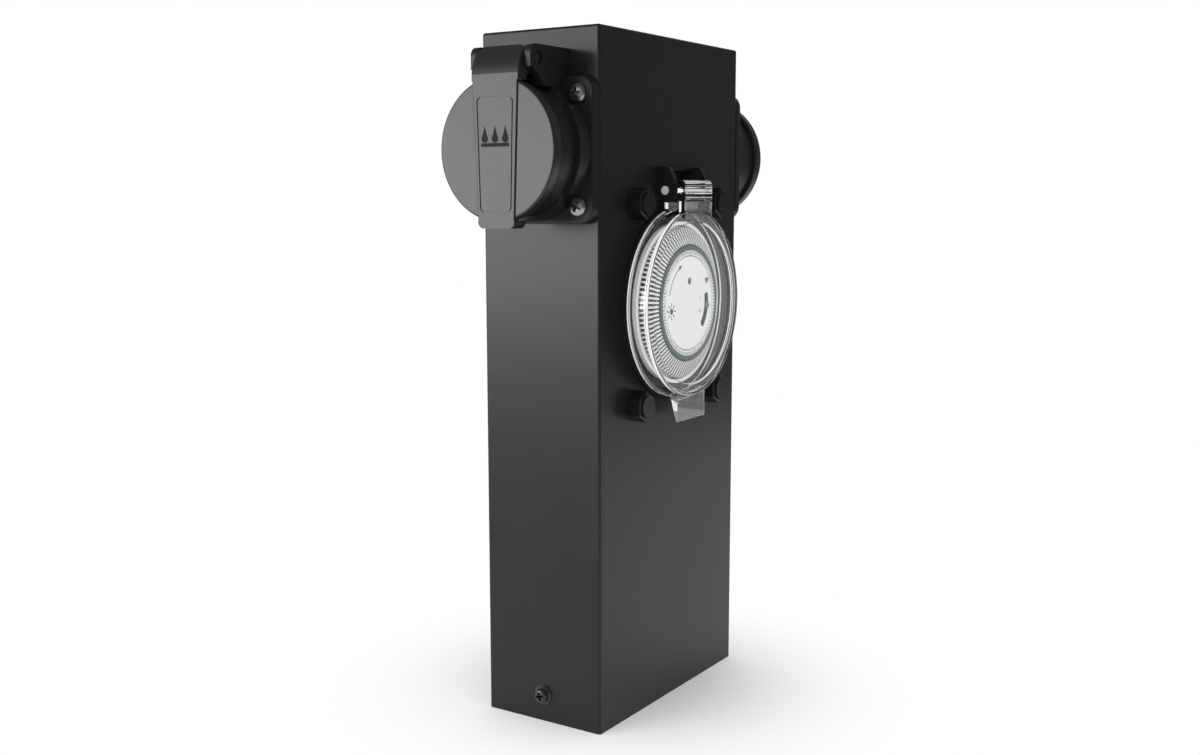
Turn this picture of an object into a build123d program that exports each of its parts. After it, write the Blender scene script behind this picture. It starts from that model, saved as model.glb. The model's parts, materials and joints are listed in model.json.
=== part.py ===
from build123d import *
import math
import os

os.makedirs("parts", exist_ok=True)

# Garden socket post: a closed-top steel box that stands on a ground plate, with a lidded
# socket on each narrow side and a dial timer under a clear lid on the wide front.
# The origin is the middle of the footprint on the ground. The front faces -Y, up is +Z.

# Post
post_width = 100.0
post_height = 250.0
sheet = 1.5
post_corner_radius = 1.0
inner_corner_radius = 0.5
top_edge_radius = 0.9
overrun = 1.0
slip = 0.3
close_slip = 0.1
pin_slip = 0.05
seat_slip = 0.02

# Ground plate with its ears and its terminal tongue
bracket_sheet = 2.0
bracket_corner_radius = 3.0
bracket_ear_height = 20.0
bracket_ear_width = 30.0
base_screw_height = 10.0
ground_margin_x = 17.0
ground_margin_y = 12.0
ground_hole_radius = 3.3
tongue_width = 56.0
tongue_over_block = 15.0
tongue_corner_radius = 4.0

# Base screws, their cup washers and their weld nuts
base_shank_radius = 1.45
base_head_radius = 2.75
base_head_height = 1.9
base_hole_slip = 0.3
base_shank_length = 9.0
cup_width = 1.9
cup_height = 0.9
cup_rim = 0.7
cup_dish = 0.5
weld_nut_flats = 7.0
weld_nut_height = 3.6

# Cable grommet, whose bore is the cable's way in
cable_bore_radius = 5.5
grommet_wall = 2.5
grommet_flange_width = 2.5
grommet_flange_thickness = 1.6
grommet_tip_wall = 1.5
grommet_height = 7.0

# Terminal block and earth screw on the tongue
block_height = 68.0
block_length = 42.0
block_depth = 15.0
block_rise = 18.0
block_edge_radius = 1.2
block_ways = 3
block_way_spacing = 11.0
block_entry_radius = 2.2
block_entry_depth = 6.0
block_well_radius = 2.4
block_well_depth = 6.0
block_fixing_inset = 3.0
block_fixing_radius = 1.4
block_fixing_head_radius = 2.5
block_fixing_head_height = 1.5
clamp_screw_height = 5.0
clamp_slot_width = 0.6
clamp_slot_depth = 0.8
earth_height = 34.0
earth_shank_radius = 1.95
earth_head_flats = 7.0
earth_head_height = 2.8
earth_washer_radius = 4.5
earth_washer_thickness = 0.9

# Socket: distances out are from the post's narrow side, heights from the socket's centre
socket_drop = 42.0
barrel_radius = 21.2
barrel_wall = 1.6
barrel_depth = 24.0
collar_wall = 2.8
collar_front = 20.1
recess_depth = 17.5
boss_width = 1.9
boss_front = 10.5
screw_inset = 3.4
flange_margin = 6.0
flange_front = 4.0
flange_corner_radius = 5.5
flange_edge_radius = 0.8
gasket_thickness = 0.8
scallop_radius = 4.4
guide_rib_width = 5.2
guide_rib_height = 1.8
guide_rib_length = 14.5
drain_width = 3.0

# Socket screws and nuts
flange_screw_radius = 1.7
flange_screw_head_radius = 3.3
flange_screw_head_height = 1.9
flange_nut_flats = 6.0
flange_nut_height = 3.0

# Contact carrier, its sleeves, earth clips and terminal screws
plug_pin_spacing = 19.0
sleeve_bore_radius = 2.5
sleeve_wall = 0.8
sleeve_length = 16.0
sleeve_depth = 3.6
sleeve_room = 3.0
pin_hole_slip = 0.4
carrier_depth = 27.0
earth_clip_width = 6.0
earth_clip_thickness = 0.8
earth_clip_inset = 1.3
earth_clip_bulge = 1.6
earth_clip_root = 4.0
earth_clip_bulge_out = 9.5
earth_clip_tip_out = 15.5
earth_slot_gap = 0.25
terminal_spacing = 11.0
terminal_screw_radius = 1.6
terminal_head_radius = 2.7
terminal_head_height = 1.8
terminal_screw_length = 4.0

# Socket lid, measured from the collar that it covers
lid_gap = 0.5
lid_depth = 2.6
lid_thickness = 1.8
lid_overhang = 1.6
lid_rim = 1.4
lid_edge_radius = 0.7
strap_proud = 0.5
strap_top_half_width = 9.6
strap_bottom_half_width = 7.6
strap_over = 0.8
strap_under = 2.3
strap_corner_radius = 2.2
strap_edge_radius = 0.45
lip_reach = 1.1
lip_height = 2.6
frame_top_margin = 7.4
frame_bottom_margin = 5.3
frame_side_margin_top = 1.9
frame_side_margin_bottom = 1.0
frame_corner_radius = 1.8
frame_groove_width = 0.5
frame_groove_depth = 0.3
seal_width = 2.8
seal_thickness = 2.8

# Lid hinge, measured from the pin's axis
hinge_over_lid = 6.2
hinge_back = 2.8
hinge_pin_radius = 1.45
knuckle_radius = 4.1
arm_top_reach = 3.2
arm_top_corner_radius = 2.6
arm_bulge_back = 1.6
arm_bulge_drop = 0.2
ear_gap = 0.3
ear_thickness = 2.5
ear_over_pin = 4.2
ear_reach = 5.0
ear_end_radius = 3.0
ear_notch_drop = 3.4
ear_notch_mid_reach = 1.3
ear_notch_mid_drop = 5.0
ear_foot_back = 1.9
ear_foot_drop = 9.2
ear_pocket_radius = 2.2
ear_pocket_depth = 1.0
web_back = 5.4
slot_floor_drop = 7.0
spring_slot_half_width = 3.4
spring_wire_radius = 0.35
spring_gap = 0.5
spring_turns = 5
spring_rise = 0.95

# Timer: distances out are from the post's front, heights from the dial's centre
dial_gap = 2.8
timer_bore_radius = 30.6
timer_collar_wall = 3.0
timer_collar_front = 1.2
timer_gasket_thickness = 0.8
plate_margin_across = 7.4
plate_margin_up = 6.7
plate_corner_radius = 6.0
plate_thickness = 2.2
plate_tab_half_width = 15.0
plate_tab_over = 2.4
timer_box_size = 62.0
timer_box_radius = 5.0
timer_box_depth = 27.0
timer_box_wall = 2.0
timer_seal_width = 2.6
timer_seal_front = 1.4

# Timer studs and cap nuts
stud_inset = 8.6
stud_outset = 0.1
stud_centre_up = 0.6
stud_radius = 2.9
stud_head_width = 1.5
stud_head_height = 1.2
stud_length_out = 4.6
cap_nut_flats = 10.0
cap_nut_turn = 30.0
cap_nut_hex_height = 5.9
cap_nut_height = 6.7
cap_nut_disc_radius = 4.2
cap_nut_chamfer = 0.5
cap_nut_bore_depth = 5.0

# Timer hinge, heights measured from the pin's axis
pin_over_lid = 6.2
timer_pin_out = 4.0
timer_pin_radius = 1.6
hinge_block_half_width = 12.8
hinge_block_below = 3.9
hinge_block_above = 8.5
hinge_block_top_out = 5.2
hinge_block_front_out = 8.0
hinge_block_bottom_out = 7.3
hinge_gap_half_width = 10.5
hinge_lip_front = 1.6
hinge_lip_thickness = 1.2

# Timer lid, a clear cup with a hinge arm and a finger tab
cup_inset = 0.8
cup_back = 1.7
cup_flange_front = 2.9
cup_flange_step = 0.5
cup_taper = 0.3
cup_wall = 1.2
cup_front = 9.8
cup_front_edge_radius = 0.8
window_inset = 3.2
window_front = 9.3
window_back = 8.0
arm_side_gap = 0.3
arm_front = 11.0
arm_front_back = 8.2
arm_overlap = 3.9
arm_knuckle_radius = 3.75
arm_corner_radius = 1.9
root_half_width = 9.5
root_front = 3.6
root_over = 1.9
tab_half_width = 10.5
tab_front = 8.5
tab_back = 5.2
tab_tip_back = 7.9
tab_overlap = 5.4
tab_knee = 1.5
tab_length = 8.1

# Dial works, from the still centre outwards
pivot_radius = 2.0
boss_outer_radius = 16.1
boss_wall = 1.3
boss_top = 5.2
boss_floor = 3.2
bearing_slip = 0.08
centre_plate_radius = 17.4
centre_plate_front = 6.9
centre_plate_edge_radius = 0.3
carrier_lip_gap = 0.2
carrier_lip_front = 4.9
carrier_seat = 5.3
hour_ring_gap = 0.2
hour_ring_width = 3.5
hour_ring_front = 6.8
insert_slip = 0.4
insert_wall = 1.3
insert_front = 2.6
insert_floor = -1.5
insert_depth = 18.0
carrier_back = -1.2
carrier_cone_front = 4.9
carrier_rim_front = 1.8
carrier_rim_gap = 0.6
tappet_count = 96
tappet_root = 0.5
tappet_inset = 0.2
tappet_width = 0.78
tappet_slot_slip = 0.05
tappet_slot_floor = -0.9
tappet_back = 0.0
tappet_proud = 1.9
set_tappet_angle = 180.0
movement_gap = 6.0
movement_depth = 9.6
movement_edge_radius = 1.5

# Override switch and the marks on the centre plate
switch_end_gap = 0.7
switch_slot_width = 2.6
switch_slot_start = -39.0
switch_slot_size = 48.0
switch_rest_angle = -7.0
switch_stem_radius = 0.75
switch_knob_radius = 1.35
switch_knob_front = 7.5
switch_arm_back = 3.9
switch_arm_front = 4.9
switch_arm_width = 2.4
switch_hub_radius = 3.8
pip_radius = 1.4
pip_depth = 0.6
pip_up = 8.2

# Socket sizes worked out from the ones above
recess_radius = barrel_radius - barrel_wall
collar_radius = recess_radius + collar_wall
boss_radius = collar_radius + boss_width
screw_spacing = 2 * (collar_radius - screw_inset)
flange_size = screw_spacing + 2 * flange_margin
flange_screw_hole_radius = flange_screw_radius + slip
recess_floor = collar_front - recess_depth
sleeve_outer_radius = sleeve_bore_radius + sleeve_wall
pin_hole_radius = sleeve_bore_radius + pin_hole_slip
earth_clip_height = recess_radius - earth_clip_inset
earth_clip_bulge_height = earth_clip_height - earth_clip_bulge
lid_radius = collar_radius + lid_overhang
lid_back = collar_front + lid_gap
lid_face_back = lid_back + lid_depth
lid_front = lid_face_back + lid_thickness
seal_outer_radius = lid_radius - lid_rim - close_slip
strap_front = lid_front + strap_proud
strap_top = lid_radius + strap_over
strap_bottom = -(lid_radius + strap_under)
lip_back = collar_front - lip_reach
frame_top = strap_top - frame_top_margin
frame_bottom = strap_bottom + frame_bottom_margin
frame_top_half_width = strap_top_half_width - frame_side_margin_top
frame_bottom_half_width = strap_bottom_half_width - frame_side_margin_bottom
hinge_out = collar_front - hinge_back
hinge_up = lid_radius + hinge_over_lid
arm_top_out = hinge_out + arm_top_reach
arm_bulge_out = strap_front - arm_bulge_back
arm_bulge_up = hinge_up - arm_bulge_drop
ear_inner = strap_top_half_width + ear_gap
ear_outer = ear_inner + ear_thickness
ear_top_up = hinge_up + ear_over_pin
ear_end_out = hinge_out + ear_reach
web_out = hinge_out - web_back
slot_floor_up = hinge_up - slot_floor_drop
spring_radius = hinge_pin_radius + spring_gap + spring_wire_radius

# Post and ground plate sizes worked out: the post is as deep as a socket's flange is wide
post_depth = flange_size
half_width = post_width / 2
half_depth = post_depth / 2
inside_width = post_width - 2 * sheet
inside_depth = post_depth - 2 * sheet
socket_height = post_height - socket_drop
bracket_length = inside_width - 2 * slip
bracket_width = inside_depth - 2 * slip
ear_inside = bracket_length / 2 - bracket_sheet
ground_spacing_x = post_width - 2 * ground_margin_x
ground_spacing_y = post_depth - 2 * ground_margin_y
base_hole_radius = base_shank_radius + base_hole_slip
cup_radius = base_hole_radius + cup_width
grommet_seat_radius = cable_bore_radius + grommet_wall
grommet_flange_radius = grommet_seat_radius + grommet_flange_width
grommet_tip_radius = cable_bore_radius + grommet_tip_wall
block_back = bracket_width / 2 - bracket_sheet
block_front = block_back - block_depth
block_fixing_spacing = block_length - 2 * block_fixing_inset
clamp_screw_radius = block_well_radius - slip
tongue_height = block_height + block_rise / 2 + tongue_over_block

# Timer sizes worked out: its box stays clear of the sockets' barrels above it
dial_height = socket_height - barrel_radius - dial_gap - timer_box_size / 2
timer_collar_radius = timer_bore_radius + timer_collar_wall
timer_seal_radius = timer_collar_radius + timer_seal_width
stud_spacing_across = 2 * (timer_seal_radius - stud_inset)
stud_spacing_up = 2 * (timer_seal_radius + stud_outset)
stud_head_radius = stud_radius + stud_head_width
plate_width = stud_spacing_across + 2 * plate_margin_across
plate_height = stud_spacing_up + 2 * plate_margin_up
timer_plate_front = -(sheet + timer_gasket_thickness)
timer_plate_back = timer_plate_front - plate_thickness
inner_box = timer_box_size - 2 * timer_box_wall
cup_flange_radius = timer_seal_radius - cup_inset
cup_wall_back_radius = cup_flange_radius - cup_flange_step
cup_wall_front_radius = cup_wall_back_radius - cup_taper
cup_inner_radius = cup_wall_front_radius - cup_wall
window_radius = cup_inner_radius - window_inset
timer_pin_up = cup_flange_radius + pin_over_lid
hinge_block_bottom_up = timer_pin_up - hinge_block_below
hinge_block_top_up = timer_pin_up + hinge_block_above
hinge_block_height = hinge_block_below + hinge_block_above
hinge_block_middle = (hinge_block_bottom_up + hinge_block_top_up) / 2
hinge_hole_width = 2 * (hinge_block_half_width + close_slip)
hinge_hole_height = hinge_block_height + 2 * close_slip
plate_tab_top_up = hinge_block_top_up + plate_tab_over
arm_half_width = hinge_gap_half_width - arm_side_gap
arm_bottom_up = cup_flange_radius - arm_overlap
root_top_up = cup_flange_radius + root_over
tab_top_up = -(cup_flange_radius - tab_overlap)
tab_knee_up = -(cup_flange_radius - tab_knee)
tab_tip_up = -(cup_flange_radius + tab_length)

# Dial sizes worked out
boss_inner_radius = boss_outer_radius - boss_wall
carrier_bore_radius = boss_outer_radius + bearing_slip
carrier_lip_radius = centre_plate_radius + carrier_lip_gap
hour_ring_inner_radius = carrier_lip_radius + hour_ring_gap
hour_ring_outer_radius = hour_ring_inner_radius + hour_ring_width
insert_radius = timer_bore_radius - insert_slip
insert_inner_radius = insert_radius - insert_wall
carrier_rim_radius = insert_inner_radius - carrier_rim_gap
carrier_cone_radius = hour_ring_outer_radius + close_slip
tappet_inner_radius = carrier_cone_radius + tappet_root
tappet_outer_radius = carrier_rim_radius - tappet_inset
tappet_step_angle = 360.0 / tappet_count
cone_slope = (carrier_cone_front - carrier_rim_front) / (carrier_rim_radius - carrier_cone_radius)
movement_size = inner_box - 2 * movement_gap
switch_path_radius = boss_inner_radius - switch_arm_width / 2 - switch_end_gap
sides = {"left": -1, "right": 1}


def save(piece, name):
    piece.label = name
    export_step(piece, f"parts/{name}.step")


def side_face(side, height, out=0.0):
    """A plane facing out of a narrow side: local y is up."""
    origin = (side * (half_width + out), 0, height)
    return Plane(origin=origin, x_dir=(0, side, 0), z_dir=(side, 0, 0))


def side_section(side, height):
    """The upright plane through a narrow side's middle: local x is out, local y is up."""
    origin = (side * half_width, 0, height)
    return Plane(origin=origin, x_dir=(side, 0, 0), z_dir=(0, -side, 0))


def front_face(out=0.0, angle=0.0):
    """A plane facing out of the front, centred on the dial: local y is up at angle zero."""
    turn = math.radians(angle)
    across = (math.cos(turn), 0, math.sin(turn))
    return Plane(origin=(0, -half_depth - out, dial_height), x_dir=across, z_dir=(0, -1, 0))


def front_section():
    """The upright plane through the dial's middle: local x is out, local y is up."""
    return Plane(origin=(0, -half_depth, dial_height), x_dir=(0, -1, 0), z_dir=(-1, 0, 0))


def axis_of(plane):
    """The line along a section plane's local x, which its profiles turn about."""
    return Axis(plane.origin, plane.x_dir)


def turned(plane, points):
    """A solid of revolution from a closed outline in a section plane, as (out, radius)."""
    with BuildPart() as solid:
        with BuildSketch(plane):
            Polygon(*points, align=None)
        revolve(axis=axis_of(plane))
    return solid.part


def pan_screw(head_radius, head_height, shank_radius, shank_length):
    """A domed pan-head screw along Z, its head's underside at zero."""
    dome_share = 0.82
    crown_share = 0.45
    with BuildPart() as screw:
        with BuildSketch(Plane.XZ):
            with BuildLine():
                low_rim = (head_radius, 0)
                top_rim = (head_radius, head_height * crown_share)
                crown = (head_radius * dome_share, head_height * dome_share)
                top = (0, head_height)
                Polyline(top, (0, -shank_length), (shank_radius, -shank_length))
                Polyline((shank_radius, -shank_length), (shank_radius, 0), low_rim, top_rim)
                Spline(top_rim, crown, top, tangents=[(0, 1), (-1, 0)])
            make_face()
        revolve(axis=Axis.Z)
    return screw.part


def hex_nut(flats, height, bore_radius):
    """A plain hexagon nut on the XY plane, with its hole."""
    with BuildPart() as nut:
        with BuildSketch():
            RegularPolygon(radius=flats / 2, side_count=6, major_radius=False)
            Circle(bore_radius, mode=Mode.SUBTRACT)
        extrude(amount=height)
    return nut.part


# Post housing: folded sheet, open at the foot, pierced for the sockets and the timer
with BuildPart() as post_housing:
    with BuildSketch():
        RectangleRounded(post_width, post_depth, post_corner_radius)
    extrude(amount=post_height)
    fillet(post_housing.faces().sort_by(Axis.Z)[-1].edges(), radius=top_edge_radius)
    with BuildSketch():
        RectangleRounded(inside_width, inside_depth, inner_corner_radius)
    extrude(amount=post_height - sheet, mode=Mode.SUBTRACT)
    for side in sides.values():
        with BuildSketch(side_face(side, socket_height, overrun)):
            Circle(barrel_radius + slip)
            with GridLocations(screw_spacing, screw_spacing, 2, 2):
                Circle(flange_screw_hole_radius)
        with BuildSketch(side_face(side, base_screw_height, overrun)):
            Circle(base_hole_radius)
        extrude(amount=-(sheet + 2 * overrun), mode=Mode.SUBTRACT)
    with BuildSketch(front_face(overrun)):
        Circle(timer_collar_radius + slip)
        with Locations((0, stud_centre_up)):
            with GridLocations(stud_spacing_across, stud_spacing_up, 2, 2):
                Circle(stud_radius + slip)
        with Locations((0, hinge_block_middle)):
            Rectangle(hinge_hole_width, hinge_hole_height)
    extrude(amount=-(sheet + 2 * overrun), mode=Mode.SUBTRACT)
save(post_housing.part, "post_housing")

# Ground plate: bent up at both ends for the base screws and at the back for the terminals
with BuildPart() as base_bracket:
    with BuildSketch():
        RectangleRounded(bracket_length, bracket_width, bracket_corner_radius)
        Circle(grommet_seat_radius, mode=Mode.SUBTRACT)
        with GridLocations(ground_spacing_x, ground_spacing_y, 2, 2):
            Circle(ground_hole_radius, mode=Mode.SUBTRACT)
    extrude(amount=bracket_sheet)
    for side in sides.values():
        with BuildSketch(Plane.YZ.offset(side * bracket_length / 2)):
            with Locations((0, bracket_ear_height / 2)):
                Rectangle(bracket_ear_width, bracket_ear_height)
            with Locations((0, base_screw_height)):
                Circle(base_hole_radius, mode=Mode.SUBTRACT)
        extrude(amount=-side * bracket_sheet)
    with BuildSketch(Plane.XZ.offset(-bracket_width / 2)) as tongue:
        with Locations((0, tongue_height / 2)):
            Rectangle(tongue_width, tongue_height)
        fillet(tongue.vertices().group_by(Axis.Y)[-1], radius=tongue_corner_radius)
        with Locations((0, block_height)):
            with GridLocations(block_fixing_spacing, 0, 2, 1):
                Circle(block_fixing_radius + seat_slip, mode=Mode.SUBTRACT)
        with Locations((0, earth_height)):
            Circle(earth_shank_radius + seat_slip, mode=Mode.SUBTRACT)
    extrude(amount=bracket_sheet)
save(base_bracket.part, "base_bracket")

# Base screws, cup washers and weld nuts, one of each on every narrow side
base_screw = pan_screw(base_head_radius, base_head_height, base_shank_radius, base_shank_length)
with BuildPart() as base_screws:
    for side in sides.values():
        with Locations(side_face(side, base_screw_height, cup_height)):
            add(base_screw)
save(base_screws.part, "base_screws")

with BuildPart() as base_washers:
    for side in sides.values():
        section = side_section(side, base_screw_height)
        washer_outline = [
            (0, base_hole_radius),
            (0, cup_radius),
            (cup_height - cup_dish, cup_radius),
            (cup_height, cup_radius - cup_rim),
            (cup_height, base_hole_radius),
        ]
        add(turned(section, washer_outline))
save(base_washers.part, "base_washers")

base_nut = hex_nut(weld_nut_flats, weld_nut_height, base_shank_radius + seat_slip)
with BuildPart() as base_nuts:
    for side in sides.values():
        nut_back = ear_inside - half_width - weld_nut_height
        with Locations(side_face(side, base_screw_height, nut_back)):
            add(base_nut)
save(base_nuts.part, "base_nuts")

# Cable grommet, pushed down into the ground plate's middle hole
with BuildPart() as cable_grommet:
    flange_top = bracket_sheet + grommet_flange_thickness
    with BuildSketch(Plane.XZ):
        Polygon(
            (cable_bore_radius, 0),
            (grommet_seat_radius, 0),
            (grommet_seat_radius, bracket_sheet),
            (grommet_flange_radius, bracket_sheet),
            (grommet_flange_radius, flange_top),
            (grommet_seat_radius, flange_top),
            (grommet_tip_radius, grommet_height),
            (cable_bore_radius, grommet_height),
            align=None,
        )
    revolve(axis=Axis.Z)
save(cable_grommet.part, "cable_grommet")

# Terminal block on the tongue, with wire entries above and below and screw wells in front
with BuildPart() as terminal_block:
    with BuildSketch(Plane.XZ.offset(-block_back)):
        with Locations((0, block_height)):
            Rectangle(block_length, block_rise)
    extrude(amount=block_depth)
    fillet(terminal_block.edges().filter_by(Axis.Y), radius=block_edge_radius)
    with BuildSketch(Plane.XZ.offset(-block_front)):
        with Locations((0, block_height)):
            with GridLocations(block_way_spacing, 0, block_ways, 1):
                Circle(block_well_radius)
    extrude(amount=-block_well_depth, mode=Mode.SUBTRACT)
    entry_line = block_back - block_depth / 2
    for end in (-1, 1):
        end_height = block_height + end * block_rise / 2
        with BuildSketch(Plane.XY.offset(end_height)):
            with Locations((0, entry_line)):
                with GridLocations(block_way_spacing, 0, block_ways, 1):
                    Circle(block_entry_radius)
        extrude(amount=-end * block_entry_depth, mode=Mode.SUBTRACT)
    with BuildSketch(Plane.XZ.offset(-block_front)):
        with Locations((0, block_height)):
            with GridLocations(block_fixing_spacing, 0, 2, 1):
                Circle(block_fixing_radius + seat_slip)
    extrude(amount=-block_depth, mode=Mode.SUBTRACT)
save(terminal_block.part, "terminal_block")

block_screw = pan_screw(
    block_fixing_head_radius, block_fixing_head_height, block_fixing_radius, block_depth + bracket_sheet
)
with BuildPart(Plane.XZ.offset(-block_front)) as terminal_block_screws:
    with Locations((0, block_height)):
        with GridLocations(block_fixing_spacing, 0, 2, 1):
            add(block_screw)
save(terminal_block_screws.part, "terminal_block_screws")

with BuildPart(Plane.XZ.offset(-(block_front + block_well_depth))) as clamp_screws:
    with Locations((0, block_height)):
        with GridLocations(block_way_spacing, 0, block_ways, 1):
            Cylinder(clamp_screw_radius, clamp_screw_height, align=(Align.CENTER, Align.CENTER, Align.MIN))
            with Locations((0, 0, clamp_screw_height)):
                Box(
                    2 * clamp_screw_radius,
                    clamp_slot_width,
                    2 * clamp_slot_depth,
                    mode=Mode.SUBTRACT,
                )
save(clamp_screws.part, "terminal_clamp_screws")

# Earth screw through the tongue, with its washer in front
with BuildPart() as earth_screw:
    washer_front = block_back - earth_washer_thickness
    with BuildSketch(Plane.XZ.offset(-washer_front)):
        with Locations((0, earth_height)):
            RegularPolygon(radius=earth_head_flats / 2, side_count=6, major_radius=False)
    extrude(amount=earth_head_height)
    with BuildSketch(Plane.XZ.offset(-washer_front)):
        with Locations((0, earth_height)):
            Circle(earth_shank_radius)
    extrude(amount=-(earth_washer_thickness + bracket_sheet))
save(earth_screw.part, "earth_screw")

with BuildPart() as earth_washer:
    with BuildSketch(Plane.XZ.offset(-block_back)):
        with Locations((0, earth_height)):
            Circle(earth_washer_radius)
            Circle(earth_shank_radius + seat_slip, mode=Mode.SUBTRACT)
    extrude(amount=earth_washer_thickness)
save(earth_washer.part, "earth_washer")


def socket_gasket(side):
    """The thin rubber sheet between a socket's flange and the post."""
    with BuildPart() as gasket:
        with BuildSketch(side_face(side, socket_height)):
            RectangleRounded(flange_size, flange_size, flange_corner_radius)
            Circle(barrel_radius + slip, mode=Mode.SUBTRACT)
            with GridLocations(screw_spacing, screw_spacing, 2, 2):
                Circle(flange_screw_hole_radius, mode=Mode.SUBTRACT)
        extrude(amount=gasket_thickness)
    return gasket.part


def socket_housing(side):
    """Flange, scalloped boss, collar, barrel and the two hinge ears, moulded in one."""
    section = side_section(side, socket_height)
    outwards = Axis((0, 0, 0), (side, 0, 0))
    with BuildPart() as housing:
        with BuildSketch(side_face(side, socket_height, gasket_thickness)):
            RectangleRounded(flange_size, flange_size, flange_corner_radius)
        extrude(amount=flange_front - gasket_thickness)
        fillet(housing.faces().sort_by(outwards)[-1].edges(), radius=flange_edge_radius)
        with BuildSketch(side_face(side, socket_height, flange_front)):
            Circle(boss_radius)
            with GridLocations(screw_spacing, screw_spacing, 2, 2):
                Circle(scallop_radius, mode=Mode.SUBTRACT)
        extrude(amount=boss_front - flange_front)
        with BuildSketch(side_face(side, socket_height, flange_front)):
            Circle(collar_radius)
        extrude(amount=collar_front - flange_front)
        with BuildSketch(side_face(side, socket_height, -barrel_depth)):
            Circle(barrel_radius)
        extrude(amount=barrel_depth + flange_front)
        with BuildSketch(section):
            with BuildLine():
                foot = (hinge_out - ear_foot_back, hinge_up - ear_foot_drop)
                flange_top = (flange_front, flange_size / 2)
                notch_end = (ear_end_out, hinge_up - ear_notch_drop)
                notch_middle = (hinge_out + ear_notch_mid_reach, hinge_up - ear_notch_mid_drop)
                tip_low = (ear_end_out, ear_top_up - ear_end_radius)
                tip_high = (ear_end_out - ear_end_radius, ear_top_up)
                Polyline(foot, (flange_front, hinge_up - ear_foot_drop), flange_top)
                Polyline(flange_top, (0, flange_size / 2), (0, ear_top_up), tip_high)
                RadiusArc(tip_high, tip_low, ear_end_radius)
                Line(tip_low, notch_end)
                ThreePointArc(notch_end, notch_middle, foot)
            make_face()
        extrude(amount=ear_outer, both=True)
        with BuildSketch(section):
            with Locations((web_out, slot_floor_up)):
                Rectangle(ear_end_out, ear_top_up, align=(Align.MIN, Align.MIN))
        extrude(amount=ear_inner, both=True, mode=Mode.SUBTRACT)
        with BuildSketch(side_face(side, socket_height, collar_front)):
            Circle(recess_radius)
        extrude(amount=-(collar_front + barrel_depth), mode=Mode.SUBTRACT)
        with BuildSketch(side_face(side, socket_height, recess_floor)) as ribs:
            Circle(recess_radius + slip)
            Rectangle(2 * (recess_radius - guide_rib_height), flange_size, mode=Mode.SUBTRACT)
            Rectangle(flange_size, guide_rib_width, mode=Mode.INTERSECT)
        extrude(amount=guide_rib_length)
        with BuildSketch(side_face(side, socket_height, collar_front)):
            with Locations((0, -collar_radius)):
                Rectangle(drain_width, 2 * (collar_radius - recess_radius) + drain_width)
        extrude(amount=-drain_width, mode=Mode.SUBTRACT)
        with BuildSketch(section):
            with Locations((hinge_out, hinge_up)):
                Circle(hinge_pin_radius + seat_slip)
        extrude(amount=flange_size, both=True, mode=Mode.SUBTRACT)
        for end in (-1, 1):
            with BuildSketch(section.offset(end * ear_outer)):
                with Locations((hinge_out, hinge_up)):
                    Circle(ear_pocket_radius)
            extrude(amount=-end * ear_pocket_depth, mode=Mode.SUBTRACT)
        with BuildSketch(side_face(side, socket_height, flange_front + overrun)):
            with GridLocations(screw_spacing, screw_spacing, 2, 2):
                Circle(flange_screw_hole_radius)
        extrude(amount=-(flange_front + 2 * overrun), mode=Mode.SUBTRACT)
    return housing.part


def contact_carrier(side):
    """The moulded floor of the recess, with pin holes, sleeve pockets and clip slots."""
    slot_inner = earth_clip_bulge_height - earth_clip_thickness
    with BuildPart() as carrier:
        with BuildSketch(side_face(side, socket_height, recess_floor)):
            Circle(recess_radius - close_slip)
        extrude(amount=-carrier_depth)
        with BuildSketch(side_face(side, socket_height, recess_floor)):
            with GridLocations(plug_pin_spacing, 0, 2, 1):
                Circle(pin_hole_radius)
        extrude(amount=-sleeve_depth, mode=Mode.SUBTRACT)
        with BuildSketch(side_face(side, socket_height, recess_floor - sleeve_depth)):
            with GridLocations(plug_pin_spacing, 0, 2, 1):
                Circle(sleeve_outer_radius + seat_slip)
        extrude(amount=-(sleeve_length + sleeve_room), mode=Mode.SUBTRACT)
        clip_room = earth_clip_thickness + 2 * earth_slot_gap
        with BuildSketch(side_face(side, socket_height, recess_floor)):
            for end in (-1, 1):
                with Locations((0, end * earth_clip_height)):
                    Rectangle(earth_clip_width + 2 * earth_slot_gap, clip_room)
        extrude(amount=-(recess_floor + earth_clip_root + earth_slot_gap), mode=Mode.SUBTRACT)
        rear = recess_floor - carrier_depth
        with BuildSketch(side_face(side, socket_height, rear)):
            with GridLocations(terminal_spacing, 0, 3, 1):
                Circle(terminal_screw_radius + seat_slip)
        extrude(amount=terminal_screw_length, mode=Mode.SUBTRACT)
    return carrier.part


def contact_sleeves(side):
    """The two brass tubes that take the plug's round pins."""
    with BuildPart() as sleeves:
        with BuildSketch(side_face(side, socket_height, recess_floor - sleeve_depth)):
            with GridLocations(plug_pin_spacing, 0, 2, 1):
                Circle(sleeve_outer_radius)
                Circle(sleeve_bore_radius, mode=Mode.SUBTRACT)
        extrude(amount=-sleeve_length)
    return sleeves.part


def earth_clips(side):
    """Two bent spring strips that stand up in the recess, above and below the pins."""
    with BuildPart() as clips:
        for end in (-1, 1):
            with BuildSketch(side_section(side, socket_height)):
                with BuildLine():
                    Polyline(
                        (-earth_clip_root, end * earth_clip_height),
                        (recess_floor, end * earth_clip_height),
                        (earth_clip_bulge_out, end * earth_clip_bulge_height),
                        (earth_clip_tip_out, end * earth_clip_height),
                    )
                trace(line_width=earth_clip_thickness)
            extrude(amount=earth_clip_width / 2, both=True)
    return clips.part


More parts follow.
